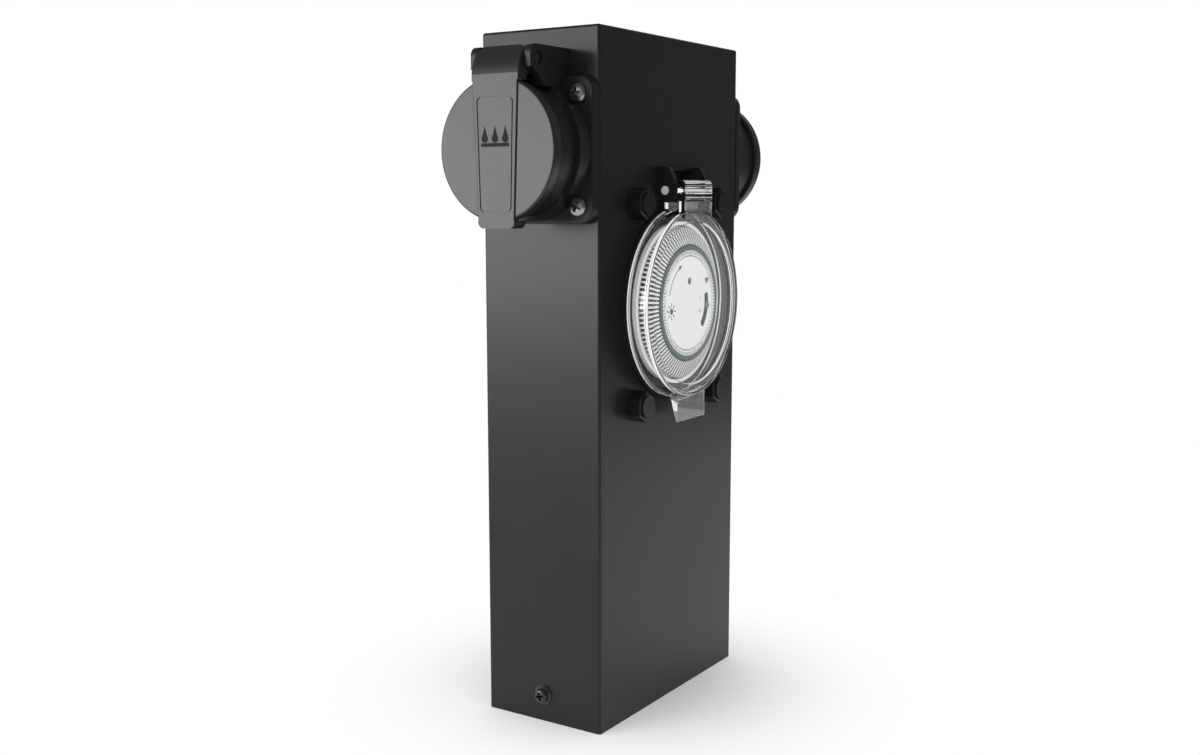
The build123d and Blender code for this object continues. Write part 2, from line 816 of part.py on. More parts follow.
def terminal_screws(side):
    """Three screws at the back of the contact carrier that clamp the wires."""
    screw = pan_screw(
        terminal_head_radius, terminal_head_height, terminal_screw_radius, terminal_screw_length
    )
    rear = side * (half_width + recess_floor - carrier_depth)
    seat = Plane(origin=(rear, 0, socket_height), x_dir=(0, 1, 0), z_dir=(-side, 0, 0))
    with BuildPart(seat) as screws:
        with GridLocations(terminal_spacing, 0, 3, 1):
            add(screw)
    return screws.part


def flange_screws(side):
    """Four bright pan-head screws through a socket's flange."""
    length = flange_front + sheet + flange_nut_height
    screw = pan_screw(flange_screw_head_radius, flange_screw_head_height, flange_screw_radius, length)
    with BuildPart(side_face(side, socket_height, flange_front)) as screws:
        with GridLocations(screw_spacing, screw_spacing, 2, 2):
            add(screw)
    return screws.part


def flange_nuts(side):
    """Four nuts inside the post that hold a socket's screws."""
    nut = hex_nut(flange_nut_flats, flange_nut_height, flange_screw_radius + seat_slip)
    with BuildPart(side_face(side, socket_height, -(sheet + flange_nut_height))) as nuts:
        with GridLocations(screw_spacing, screw_spacing, 2, 2):
            add(nut)
    return nuts.part


def tapered_outline(top, bottom, top_half_width, bottom_half_width):
    """The four corners of an upright trapezium, from the top left round."""
    return [
        (-top_half_width, top),
        (-bottom_half_width, bottom),
        (bottom_half_width, bottom),
        (top_half_width, top),
    ]


def socket_lid(side):
    """Round lid with its tapered strap, finger lip, bent arm and hinge knuckle."""
    section = side_section(side, socket_height)
    outwards = Axis((0, 0, 0), (side, 0, 0))
    inside_rim = lid_radius - lid_rim
    arm_top = hinge_up + knuckle_radius
    with BuildPart() as arm:
        with BuildSketch(section):
            with BuildLine():
                front_low = (strap_front, strap_top)
                knuckle_top = (hinge_out, arm_top)
                top = (arm_top_out, arm_top)
                knuckle_low = (hinge_out, hinge_up - knuckle_radius)
                ThreePointArc(front_low, (arm_bulge_out, arm_bulge_up), top)
                Polyline(top, knuckle_top, knuckle_low, (lid_back, lid_radius))
                Polyline((lid_back, lid_radius), (lid_back, inside_rim), (strap_front, inside_rim), front_low)
            make_face()
            with Locations((hinge_out, hinge_up)):
                Circle(knuckle_radius)
        extrude(amount=strap_top_half_width, both=True)
        with BuildSketch(side_face(side, socket_height, strap_front)) as outline:
            with Locations((0, arm_top)):
                Rectangle(2 * strap_top_half_width, arm_top, align=(Align.CENTER, Align.MAX))
            fillet(outline.vertices().group_by(Axis.Y)[-1], radius=arm_top_corner_radius)
        extrude(amount=-strap_front, mode=Mode.INTERSECT)
    with BuildPart() as lid:
        with BuildSketch(side_face(side, socket_height, strap_front)) as strap:
            Polygon(
                *tapered_outline(strap_top, strap_bottom, strap_top_half_width, strap_bottom_half_width),
                align=None,
            )
            fillet(strap.vertices().group_by(Axis.Y)[0], radius=strap_corner_radius)
        extrude(amount=-(strap_front - lid_face_back))
        front_edges = lid.faces().sort_by(outwards)[-1].edges()
        fillet(front_edges.filter_by(Axis.Y, reverse=True), radius=strap_edge_radius)
        with BuildSketch(section) as disc:
            with Locations((lid_back, 0)):
                Rectangle(lid_front - lid_back, lid_radius, align=(Align.MIN, Align.MIN))
            fillet(disc.vertices().group_by(Axis.Y)[-1], radius=lid_edge_radius)
        revolve(axis=axis_of(section))
        with BuildSketch(side_face(side, socket_height, strap_front)) as lip:
            with Locations((0, strap_bottom)):
                Rectangle(2 * strap_bottom_half_width, lip_height, align=(Align.CENTER, Align.MIN))
            fillet(lip.vertices().group_by(Axis.Y)[0], radius=strap_corner_radius)
        extrude(amount=lip_back - strap_front)
        add(arm.part)
        with BuildSketch(side_face(side, socket_height, lid_back - overrun)):
            Circle(inside_rim)
        extrude(amount=lid_face_back - lid_back + overrun, mode=Mode.SUBTRACT)
        with BuildSketch(section):
            with Locations((hinge_out, hinge_up)):
                Circle(hinge_pin_radius + pin_slip)
        extrude(amount=ear_outer, both=True, mode=Mode.SUBTRACT)
        with BuildSketch(section):
            with Locations((hinge_out, hinge_up)):
                Circle(spring_radius + spring_wire_radius + slip)
            with Locations((hinge_out, hinge_up)):
                Rectangle(knuckle_radius, 2 * knuckle_radius, align=(Align.MAX, Align.CENTER))
        extrude(amount=spring_slot_half_width, both=True, mode=Mode.SUBTRACT)
        with BuildSketch(side_face(side, socket_height, strap_front)) as frame:
            Polygon(
                *tapered_outline(frame_top, frame_bottom, frame_top_half_width, frame_bottom_half_width),
                align=None,
            )
            fillet(frame.vertices(), radius=frame_corner_radius)
            offset(amount=-frame_groove_width, mode=Mode.SUBTRACT)
        extrude(amount=-frame_groove_depth, mode=Mode.SUBTRACT)
    return lid.part


def lid_pin(side):
    """The steel pin through a socket lid's knuckle, ending inside the ears."""
    with BuildPart() as pin:
        with BuildSketch(side_section(side, socket_height)):
            with Locations((hinge_out, hinge_up)):
                Circle(hinge_pin_radius)
        extrude(amount=ear_outer - ear_pocket_depth, both=True)
    return pin.part


def lid_spring(side):
    """A torsion spring round the pin, its leg standing on the floor between the ears."""
    coil_length = spring_turns * spring_rise
    leg = hinge_up - slot_floor_up - close_slip
    hinge = side_section(side, socket_height).from_local_coords((hinge_out, hinge_up, 0))
    with BuildPart() as coil:
        with BuildLine() as wire:
            turns = Helix(pitch=spring_rise, height=coil_length, radius=spring_radius)
            foot = turns @ 0 - (turns % 0) * leg
            Line(foot, turns @ 0)
        with BuildSketch(Plane(origin=foot, z_dir=turns % 0)):
            Circle(spring_wire_radius)
        sweep()
    seat = Plane(origin=hinge, x_dir=(-side, 0, 0), z_dir=(0, side, 0))
    with BuildPart(seat.offset(-coil_length / 2)) as spring:
        add(coil.part)
    return spring.part


def lid_seal(side):
    """The soft ring under a socket lid that closes onto the collar's rim."""
    with BuildPart() as seal:
        with BuildSketch(side_face(side, socket_height, lid_face_back)):
            Circle(seal_outer_radius)
            Circle(seal_outer_radius - seal_width, mode=Mode.SUBTRACT)
        extrude(amount=-seal_thickness)
    return seal.part


socket_pieces = {
    "socket_gasket": socket_gasket,
    "socket_housing": socket_housing,
    "contact_carrier": contact_carrier,
    "contact_sleeves": contact_sleeves,
    "earth_clips": earth_clips,
    "terminal_screws": terminal_screws,
    "flange_screws": flange_screws,
    "flange_nuts": flange_nuts,
    "socket_lid": socket_lid,
    "lid_pin": lid_pin,
    "lid_spring": lid_spring,
    "lid_seal": lid_seal,
}
for side_name, side in sides.items():
    for piece_name, make_piece in socket_pieces.items():
        save(make_piece(side), f"{side_name}_{piece_name}")

# Timer gasket behind the post's front sheet
with BuildPart() as timer_gasket:
    with BuildSketch(front_face(-sheet)):
        with Locations((0, stud_centre_up)):
            RectangleRounded(plate_width, plate_height, plate_corner_radius)
            with GridLocations(stud_spacing_across, stud_spacing_up, 2, 2):
                Circle(stud_radius + slip, mode=Mode.SUBTRACT)
        Circle(timer_collar_radius + slip, mode=Mode.SUBTRACT)
        with Locations((0, hinge_block_middle)):
            Rectangle(hinge_hole_width, hinge_hole_height, mode=Mode.SUBTRACT)
    extrude(amount=-timer_gasket_thickness)
save(timer_gasket.part, "timer_gasket")

# Timer housing: plate and box behind the sheet, collar and hinge ears through it
with BuildPart() as timer_housing:
    with BuildSketch(front_face(timer_plate_front)):
        with Locations((0, stud_centre_up)):
            RectangleRounded(plate_width, plate_height, plate_corner_radius)
        with Locations((0, plate_tab_top_up)):
            Rectangle(2 * plate_tab_half_width, plate_height / 2, align=(Align.CENTER, Align.MAX))
    extrude(amount=-plate_thickness)
    with BuildSketch(front_face(timer_plate_back)):
        RectangleRounded(timer_box_size, timer_box_size, timer_box_radius)
    extrude(amount=-timer_box_depth)
    with BuildSketch(front_face(timer_plate_back)):
        Circle(timer_collar_radius)
    extrude(amount=timer_collar_front - timer_plate_back)
    with BuildSketch(front_section()):
        with BuildLine():
            front_low = (hinge_block_bottom_out, hinge_block_bottom_up)
            front_mid = (hinge_block_front_out, timer_pin_up)
            top_front = (hinge_block_top_out, hinge_block_top_up)
            Line(front_low, front_mid)
            back_top = (timer_plate_back, hinge_block_top_up)
            back_low = (timer_plate_back, hinge_block_bottom_up)
            RadiusArc(front_mid, top_front, -hinge_block_height)
            Polyline(top_front, back_top, back_low, front_low)
        make_face()
    extrude(amount=hinge_block_half_width, both=True)
    with BuildSketch(front_section()):
        with Locations((timer_plate_front, hinge_block_bottom_up)):
            Rectangle(
                hinge_block_front_out - timer_plate_front + overrun,
                hinge_block_height + overrun,
                align=(Align.MIN, Align.MIN),
            )
        with Locations((timer_plate_front, hinge_block_top_up - hinge_lip_thickness)):
            Rectangle(
                hinge_lip_front - timer_plate_front,
                hinge_lip_thickness + 2 * overrun,
                align=(Align.MIN, Align.MIN),
                mode=Mode.SUBTRACT,
            )
    extrude(amount=hinge_gap_half_width, both=True, mode=Mode.SUBTRACT)
    with BuildSketch(front_section()):
        with Locations((timer_pin_out, timer_pin_up)):
            Circle(timer_pin_radius + seat_slip)
    extrude(amount=hinge_block_half_width, both=True, mode=Mode.SUBTRACT)
    with BuildSketch(front_face(timer_collar_front)):
        Circle(timer_bore_radius)
    extrude(amount=timer_plate_back - timer_collar_front, mode=Mode.SUBTRACT)
    with BuildSketch(front_face(timer_plate_front)):
        RectangleRounded(inner_box, inner_box, timer_box_radius - timer_box_wall)
    extrude(amount=-(plate_thickness + timer_box_depth - timer_box_wall), mode=Mode.SUBTRACT)
    with BuildSketch(front_face(timer_plate_front)):
        with Locations((0, stud_centre_up)):
            with GridLocations(stud_spacing_across, stud_spacing_up, 2, 2):
                Circle(stud_radius + seat_slip)
    extrude(amount=-plate_thickness, mode=Mode.SUBTRACT)
save(timer_housing.part, "timer_housing")

# Studs through the timer plate and the post, and the hexagon cap nuts on them
with BuildPart(front_face(timer_plate_back)) as timer_studs:
    with Locations((0, stud_centre_up)):
        with GridLocations(stud_spacing_across, stud_spacing_up, 2, 2):
            Cylinder(stud_head_radius, stud_head_height, align=(Align.CENTER, Align.CENTER, Align.MAX))
            Cylinder(
                stud_radius,
                stud_length_out - timer_plate_back,
                align=(Align.CENTER, Align.CENTER, Align.MIN),
            )
save(timer_studs.part, "timer_studs")

with BuildPart() as cap_nut:
    with BuildSketch():
        RegularPolygon(cap_nut_flats / 2, side_count=6, major_radius=False, rotation=cap_nut_turn)
    extrude(amount=cap_nut_hex_height)
    chamfer(cap_nut.faces().sort_by(Axis.Z)[-1].edges(), length=cap_nut_chamfer)
    with BuildSketch(Plane.XY.offset(cap_nut_hex_height)):
        Circle(cap_nut_disc_radius)
    extrude(amount=cap_nut_height - cap_nut_hex_height)
    with BuildSketch():
        Circle(stud_radius + seat_slip)
    extrude(amount=cap_nut_bore_depth, mode=Mode.SUBTRACT)
with BuildPart(front_face()) as timer_cap_nuts:
    with Locations((0, stud_centre_up)):
        with GridLocations(stud_spacing_across, stud_spacing_up, 2, 2):
            add(cap_nut.part)
save(timer_cap_nuts.part, "timer_cap_nuts")

# Soft ring round the timer's collar, which the clear lid closes onto
with BuildPart() as timer_lid_seal:
    with BuildSketch(front_face()):
        Circle(timer_seal_radius)
        Circle(timer_collar_radius, mode=Mode.SUBTRACT)
    extrude(amount=timer_seal_front)
save(timer_lid_seal.part, "timer_lid_seal")

# Hinge pin of the clear lid, flush with the ears
with BuildPart() as timer_lid_pin:
    with BuildSketch(front_section()):
        with Locations((timer_pin_out, timer_pin_up)):
            Circle(timer_pin_radius)
    extrude(amount=hinge_block_half_width, both=True)
save(timer_lid_pin.part, "timer_lid_pin")

# Clear lid: cup, hinge arm with its knuckle, lower root and wedge-shaped finger tab
with BuildPart() as timer_lid:
    section = front_section()
    with BuildSketch(section) as cup:
        Polygon(
            (cup_back, 0),
            (cup_back, cup_flange_radius),
            (cup_flange_front, cup_flange_radius),
            (cup_flange_front, cup_wall_back_radius),
            (cup_front, cup_wall_front_radius),
            (cup_front, 0),
            align=None,
        )
        front_corner = cup.vertices().sort_by_distance((cup_front, cup_wall_front_radius))[0]
        fillet(front_corner, radius=cup_front_edge_radius)
    revolve(axis=axis_of(section))
    with BuildSketch(section):
        Polygon(
            (tab_back, tab_top_up),
            (tab_back, tab_knee_up),
            (tab_tip_back, tab_tip_up),
            (tab_front, tab_tip_up),
            (tab_front, tab_top_up),
            align=None,
        )
    extrude(amount=tab_half_width, both=True)
    with BuildSketch(section) as arm:
        arm_top = timer_pin_up + arm_knuckle_radius
        Polygon(
            (timer_pin_out, arm_top),
            (arm_front, arm_top),
            (arm_front, arm_bottom_up),
            (arm_front_back, arm_bottom_up),
            (arm_front_back, timer_pin_up - arm_knuckle_radius),
            (timer_pin_out, timer_pin_up - arm_knuckle_radius),
            align=None,
        )
        fillet(arm.vertices().sort_by_distance((arm_front, arm_top))[0], radius=arm_corner_radius)
        with Locations((timer_pin_out, timer_pin_up)):
            Circle(arm_knuckle_radius)
            Circle(timer_pin_radius + pin_slip, mode=Mode.SUBTRACT)
    extrude(amount=arm_half_width, both=True)
    with BuildSketch(section):
        Polygon(
            (cup_back, arm_bottom_up),
            (cup_back, root_top_up),
            (root_front, root_top_up),
            (root_front, arm_bottom_up),
            align=None,
        )
    extrude(amount=root_half_width, both=True)
    with BuildSketch(front_face(cup_back - overrun)):
        Circle(cup_inner_radius)
    extrude(amount=window_back - cup_back + overrun, mode=Mode.SUBTRACT)
    with BuildSketch(front_face(window_front)):
        Circle(window_radius)
    extrude(amount=arm_front, mode=Mode.SUBTRACT)
save(timer_lid.part, "timer_lid")

# White insert inside the collar, with the round boss that the dial turns on
insert_outline = [
    (-insert_depth, 0),
    (-insert_depth, insert_radius),
    (insert_front, insert_radius),
    (insert_front, insert_inner_radius),
    (insert_floor, insert_inner_radius),
    (insert_floor, boss_outer_radius),
    (boss_top, boss_outer_radius),
    (boss_top, boss_inner_radius),
    (boss_floor, boss_inner_radius),
    (boss_floor, pivot_radius),
    (boss_top, pivot_radius),
    (boss_top, 0),
]
with BuildPart() as insert_room:
    with BuildSketch(front_face(insert_front)):
        Circle(timer_bore_radius)
    extrude(amount=timer_plate_front - insert_front)
    with BuildSketch(front_face(timer_plate_front)):
        Rectangle(inner_box - 2 * close_slip, inner_box - 2 * close_slip)
    extrude(amount=-(insert_depth + timer_plate_front))
with BuildPart() as timer_insert:
    add(turned(front_section(), insert_outline))
    add(insert_room.part, mode=Mode.INTERSECT)
save(timer_insert.part, "timer_insert")

# Movement with its motor, a closed block behind the insert
with BuildPart() as timer_movement:
    with BuildSketch(front_face(-insert_depth)):
        RectangleRounded(movement_size, movement_size, movement_edge_radius)
    extrude(amount=-movement_depth)
save(timer_movement.part, "timer_movement")

# Centre plate, which stays still and keeps the dial on its boss
with BuildPart() as timer_centre_plate:
    with BuildSketch(front_face(boss_top)):
        Circle(centre_plate_radius)
    extrude(amount=centre_plate_front - boss_top)
    fillet(timer_centre_plate.edges().group_by(Axis.Y)[0], radius=centre_plate_edge_radius)
    with BuildSketch(front_face(centre_plate_front)):
        with BuildLine():
            path = CenterArc((0, 0), switch_path_radius, switch_slot_start, switch_slot_size)
        trace(line_width=switch_slot_width)
        with Locations(path @ 0, path @ 1):
            Circle(switch_slot_width / 2)
    extrude(amount=boss_top - centre_plate_front, mode=Mode.SUBTRACT)
    with BuildSketch(front_face(centre_plate_front)):
        with Locations((0, pip_up)):
            Circle(pip_radius)
    extrude(amount=-pip_depth, mode=Mode.SUBTRACT)
save(timer_centre_plate.part, "timer_centre_plate")

# Dial carrier: a cone with a slot for every tappet, running on the insert's boss
carrier_outline = [
    (carrier_back, carrier_bore_radius),
    (carrier_lip_front, carrier_bore_radius),
    (carrier_lip_front, carrier_lip_radius),
    (carrier_seat, carrier_lip_radius),
    (carrier_seat, hour_ring_outer_radius),
    (carrier_cone_front, hour_ring_outer_radius),
    (carrier_cone_front, carrier_cone_radius),
    (carrier_rim_front, carrier_rim_radius),
    (carrier_back, carrier_rim_radius),
]
slot_width = tappet_width + 2 * tappet_slot_slip
slot_length = carrier_rim_radius + overrun - tappet_inner_radius
with BuildPart() as dial_carrier:
    add(turned(front_section(), carrier_outline))
    with BuildSketch(front_face(tappet_slot_floor)):
        with PolarLocations(tappet_inner_radius, tappet_count, start_angle=set_tappet_angle):
            Rectangle(slot_length, slot_width, align=(Align.MIN, Align.CENTER))
    extrude(amount=carrier_cone_front - tappet_slot_floor, mode=Mode.SUBTRACT)
save(dial_carrier.part, "dial_carrier")

# Tappets, one for each quarter hour: a group of fixed ones and one that slides
inner_top = carrier_cone_front - cone_slope * (tappet_inner_radius - carrier_cone_radius) + tappet_proud
outer_top = carrier_cone_front - cone_slope * (tappet_outer_radius - carrier_cone_radius) + tappet_proud
with BuildPart() as tappet:
    with BuildSketch(Plane.XZ):
        Polygon(
            (tappet_inner_radius + tappet_slot_slip, tappet_back),
            (tappet_outer_radius, tappet_back),
            (tappet_outer_radius, outer_top),
            (tappet_inner_radius + tappet_slot_slip, inner_top),
            align=None,
        )
    extrude(amount=tappet_width / 2, both=True)
with BuildPart(front_face()) as dial_tappets:
    first_angle = set_tappet_angle + tappet_step_angle
    with PolarLocations(0, tappet_count - 1, first_angle, 360.0 - tappet_step_angle):
        add(tappet.part)
save(dial_tappets.part, "dial_tappets")
with BuildPart(front_face()) as set_tappet:
    with PolarLocations(0, 1, start_angle=set_tappet_angle):
        add(tappet.part)
save(set_tappet.part, "set_tappet")

# Hour ring, the printed face that turns with the carrier
with BuildPart() as hour_ring:
    with BuildSketch(front_face(carrier_seat)):
        Circle(hour_ring_outer_radius)
        Circle(hour_ring_inner_radius, mode=Mode.SUBTRACT)
    extrude(amount=hour_ring_front - carrier_seat)
save(hour_ring.part, "hour_ring")

# Override switch: a lever on the insert's pivot, its knob out through the curved slot
with BuildPart() as override_switch:
    lever = front_face(switch_arm_back, switch_rest_angle)
    with BuildSketch(lever):
        Circle(switch_hub_radius)
        Rectangle(switch_path_radius, switch_arm_width, align=(Align.MIN, Align.CENTER))
        with Locations((switch_path_radius, 0)):
            Circle(switch_arm_width / 2)
        Circle(pivot_radius + pin_slip, mode=Mode.SUBTRACT)
    extrude(amount=switch_arm_front - switch_arm_back)
    with BuildSketch(lever):
        with Locations((switch_path_radius, 0)):
            Circle(switch_stem_radius)
    extrude(amount=switch_knob_front - switch_arm_back)
    with BuildSketch(front_face(centre_plate_front + close_slip, switch_rest_angle)):
        with Locations((switch_path_radius, 0)):
            Circle(switch_knob_radius)
    extrude(amount=switch_knob_front - centre_plate_front - close_slip)
save(override_switch.part, "override_switch")
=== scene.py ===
# %% [markdown]
# A garden socket post: a black powder-coated steel box with a lidded mains socket on each
# narrow side and a dial timer under a clear lid on its front. The measured parts come from
# the frame, so this lesson never moves them. It gives every part its finish, adds what is
# printed, cut or clear, and sets up a plain white studio. Lengths are in metres.

# %% Load the frame
import json
import math

import bmesh
import bpy
from mathutils import Matrix, Vector


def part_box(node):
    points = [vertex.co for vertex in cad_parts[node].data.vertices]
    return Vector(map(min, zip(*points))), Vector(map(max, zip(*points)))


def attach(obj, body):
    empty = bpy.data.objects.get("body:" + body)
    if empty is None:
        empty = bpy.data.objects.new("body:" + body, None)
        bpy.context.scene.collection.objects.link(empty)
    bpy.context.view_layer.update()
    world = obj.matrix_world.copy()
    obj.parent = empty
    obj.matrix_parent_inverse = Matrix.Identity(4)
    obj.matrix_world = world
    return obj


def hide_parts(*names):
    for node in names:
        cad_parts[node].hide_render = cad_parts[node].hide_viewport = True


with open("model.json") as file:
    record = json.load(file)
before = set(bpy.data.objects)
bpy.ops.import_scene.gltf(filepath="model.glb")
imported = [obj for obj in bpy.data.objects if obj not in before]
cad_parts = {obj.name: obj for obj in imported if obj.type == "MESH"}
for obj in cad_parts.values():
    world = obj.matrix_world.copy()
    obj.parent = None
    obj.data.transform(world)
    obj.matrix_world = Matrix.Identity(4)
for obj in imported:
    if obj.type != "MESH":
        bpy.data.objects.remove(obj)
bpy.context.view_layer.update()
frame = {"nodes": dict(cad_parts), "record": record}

MM = 0.001
nodes = frame["nodes"]

# %% [markdown]
# The photograph was taken from the left, a little above the sockets, with the post 1.2 frames
# from the lens. The camera was worked out from the post's edges: its place, its turn about the
# upright (yaw), how far it looks down (pitch) and how much it leans (roll). An orthographic
# camera would be simpler, but the post's edges converge, so it is a perspective one.

# %% The camera at the photograph's place
CAMERA_PLACE = Vector((-432.2, -274.8, 192.0)) * MM
CAMERA_YAW, CAMERA_PITCH, CAMERA_ROLL = (math.radians(a) for a in (56.84, 7.72, 0.05))
CAMERA_LENS = 39.80
SENSOR_WIDTH = 36.0


def add_camera():
    """A level camera turned by yaw about Z, tilted down by pitch and leaned by roll."""
    data = bpy.data.cameras.new("photo_camera")
    data.lens = CAMERA_LENS
    data.sensor_width = SENSOR_WIDTH
    data.sensor_fit = "HORIZONTAL"
    camera = bpy.data.objects.new("photo_camera", data)
    tilt = Matrix.Rotation(math.pi / 2 - CAMERA_PITCH, 4, "X")
    turn = Matrix.Rotation(-CAMERA_YAW, 4, "Z") @ tilt
    lean = Matrix.Rotation(-CAMERA_ROLL, 4, "Z")
    camera.matrix_world = Matrix.Translation(CAMERA_PLACE) @ turn @ lean
    bpy.context.scene.collection.objects.link(camera)
    bpy.context.scene.camera = camera
    return camera


photo_camera = add_camera()
print("camera at", [round(v, 3) for v in photo_camera.location])

# %% [markdown]
# Materials are trees of nodes. These helpers keep each tree short to write: one adds a node and
# fills its sockets, three do a sum, mix two colours or paint the mix on, and one starts a
# material from a Principled BSDF whose constants sit on its own sockets, where other programs
# can read them too.

# %% Small helpers for node trees
def add_node(tree, kind, sockets=None, **settings):
    """A node of that kind, with values for its input sockets and its own settings."""
    node = tree.nodes.new(kind)
    for name, value in settings.items():
        setattr(node, name, value)
    for name, value in (sockets or {}).items():
        node.inputs[name].default_value = value
    return node


def maths(tree, operation, first, second=0.0, clamp=False):
    """The result of a Math node on two sockets or numbers."""
    node = add_node(tree, "ShaderNodeMath", operation=operation, use_clamp=clamp)
    for place, value in enumerate((first, second)):
        if isinstance(value, bpy.types.NodeSocket):
            tree.links.new(value, node.inputs[place])
        else:
            node.inputs[place].default_value = value
    return node.outputs[0]


def mix_colours(tree, factor, first, second):
    """A colour between two colours, by a socket from 0 to 1."""
    node = add_node(tree, "ShaderNodeMix", data_type="RGBA")
    for place, value in ((0, factor), (6, first), (7, second)):
        if isinstance(value, bpy.types.NodeSocket):
            tree.links.new(value, node.inputs[place])
        else:
            node.inputs[place].default_value = value
    return node.outputs[2]


def paint(tree, shader, factor, first, second):
    """Feeds a colour between two colours into a shader's Base Color."""
    tree.links.new(mix_colours(tree, factor, first, second), shader.inputs["Base Color"])


def start_material(name, colour, roughness, metallic=0.0, specular=0.5):
    """A material with its Principled BSDF, which carries the constants."""
    material = bpy.data.materials.new(name)
    material.use_nodes = True
    shader = material.node_tree.nodes["Principled BSDF"]
    shader.inputs["Base Color"].default_value = (*colour, 1.0)
    shader.inputs["Roughness"].default_value = roughness
    shader.inputs["Metallic"].default_value = metallic
    shader.inputs["Specular IOR Level"].default_value = specular
    return material, material.node_tree, shader


# %% [markdown]
# Nearly everything here is either moulded or powder coated, and both finishes have a fine
# grain with slow patches in it. That effect is made once, as a node group: it puts out a height
# for a Bump node and a mask for colour and roughness. A picture could hold the grain, but
# noise on Object coordinates has no seams and stays with the part when it moves.

# %% The grain group
GRAIN_SHARE = 0.5


def build_grain_group():
    """Fine grain over slow patches, as a height and a mask."""
    group = bpy.data.node_groups.new("surface_grain", "ShaderNodeTree")
    for name, default in (("Grain Scale", 2500.0), ("Patch Scale", 60.0), ("Patch Share", 0.3)):
        socket = group.interface.new_socket(name, in_out="INPUT", socket_type="NodeSocketFloat")
        socket.default_value = default
    for name in ("Height", "Mask"):
        group.interface.new_socket(name, in_out="OUTPUT", socket_type="NodeSocketFloat")
    inputs = add_node(group, "NodeGroupInput")
    outputs = add_node(group, "NodeGroupOutput")
    place = add_node(group, "ShaderNodeTexCoord")
    grain = add_node(group, "ShaderNodeTexNoise", {"Detail": 3.0, "Roughness": 0.6})
    patches = add_node(group, "ShaderNodeTexNoise", {"Detail": 2.0, "Roughness": 0.5})
    for noise, scale in ((grain, "Grain Scale"), (patches, "Patch Scale")):
        group.links.new(place.outputs["Object"], noise.inputs["Vector"])
        group.links.new(inputs.outputs[scale], noise.inputs["Scale"])
    slow = maths(group, "MULTIPLY", patches.outputs["Fac"], inputs.outputs["Patch Share"])
    fine = maths(group, "MULTIPLY", grain.outputs["Fac"], GRAIN_SHARE)
    mask = maths(group, "ADD", fine, slow, clamp=True)
    group.links.new(grain.outputs["Fac"], outputs.inputs["Height"])
    group.links.new(mask, outputs.inputs["Mask"])
    return group


grain_group = build_grain_group()


def add_grain(tree, shader, bump, distance, grain_scale, roughness_span=None, colours=None):
    """Feeds the grain group into a shader's Normal, Roughness and Base Color."""
    grain = add_node(tree, "ShaderNodeGroup", node_tree=grain_group)
    grain.inputs["Grain Scale"].default_value = grain_scale
    height = add_node(tree, "ShaderNodeBump", {"Strength": bump, "Distance": distance})
    tree.links.new(grain.outputs["Height"], height.inputs["Height"])
    tree.links.new(height.outputs["Normal"], shader.inputs["Normal"])
    if roughness_span:
        low, high = roughness_span
        spread = add_node(tree, "ShaderNodeMapRange", {"To Min": low, "To Max": high})
        tree.links.new(grain.outputs["Mask"], spread.inputs["Value"])
        tree.links.new(spread.outputs["Result"], shader.inputs["Roughness"])
    if colours:
        first, second = ((*colour, 1.0) for colour in colours)
        paint(tree, shader, grain.outputs["Mask"], first, second)
    return grain


print("grain group sockets:", len(grain_group.interface.items_tree))

# %% [markdown]
# The plain finishes differ only in a few numbers, so they are a table: colour, roughness, how
# deep and how fine the grain is, and how shiny the surface is. The black parts are really
# black, about one hundredth of white, and what the photograph shows of them is nearly all
# shine. So their roughness matters most: the powder coat is satin with a sandy grain, the
# moulded parts are duller, and the metals are smooth with a fine variation.

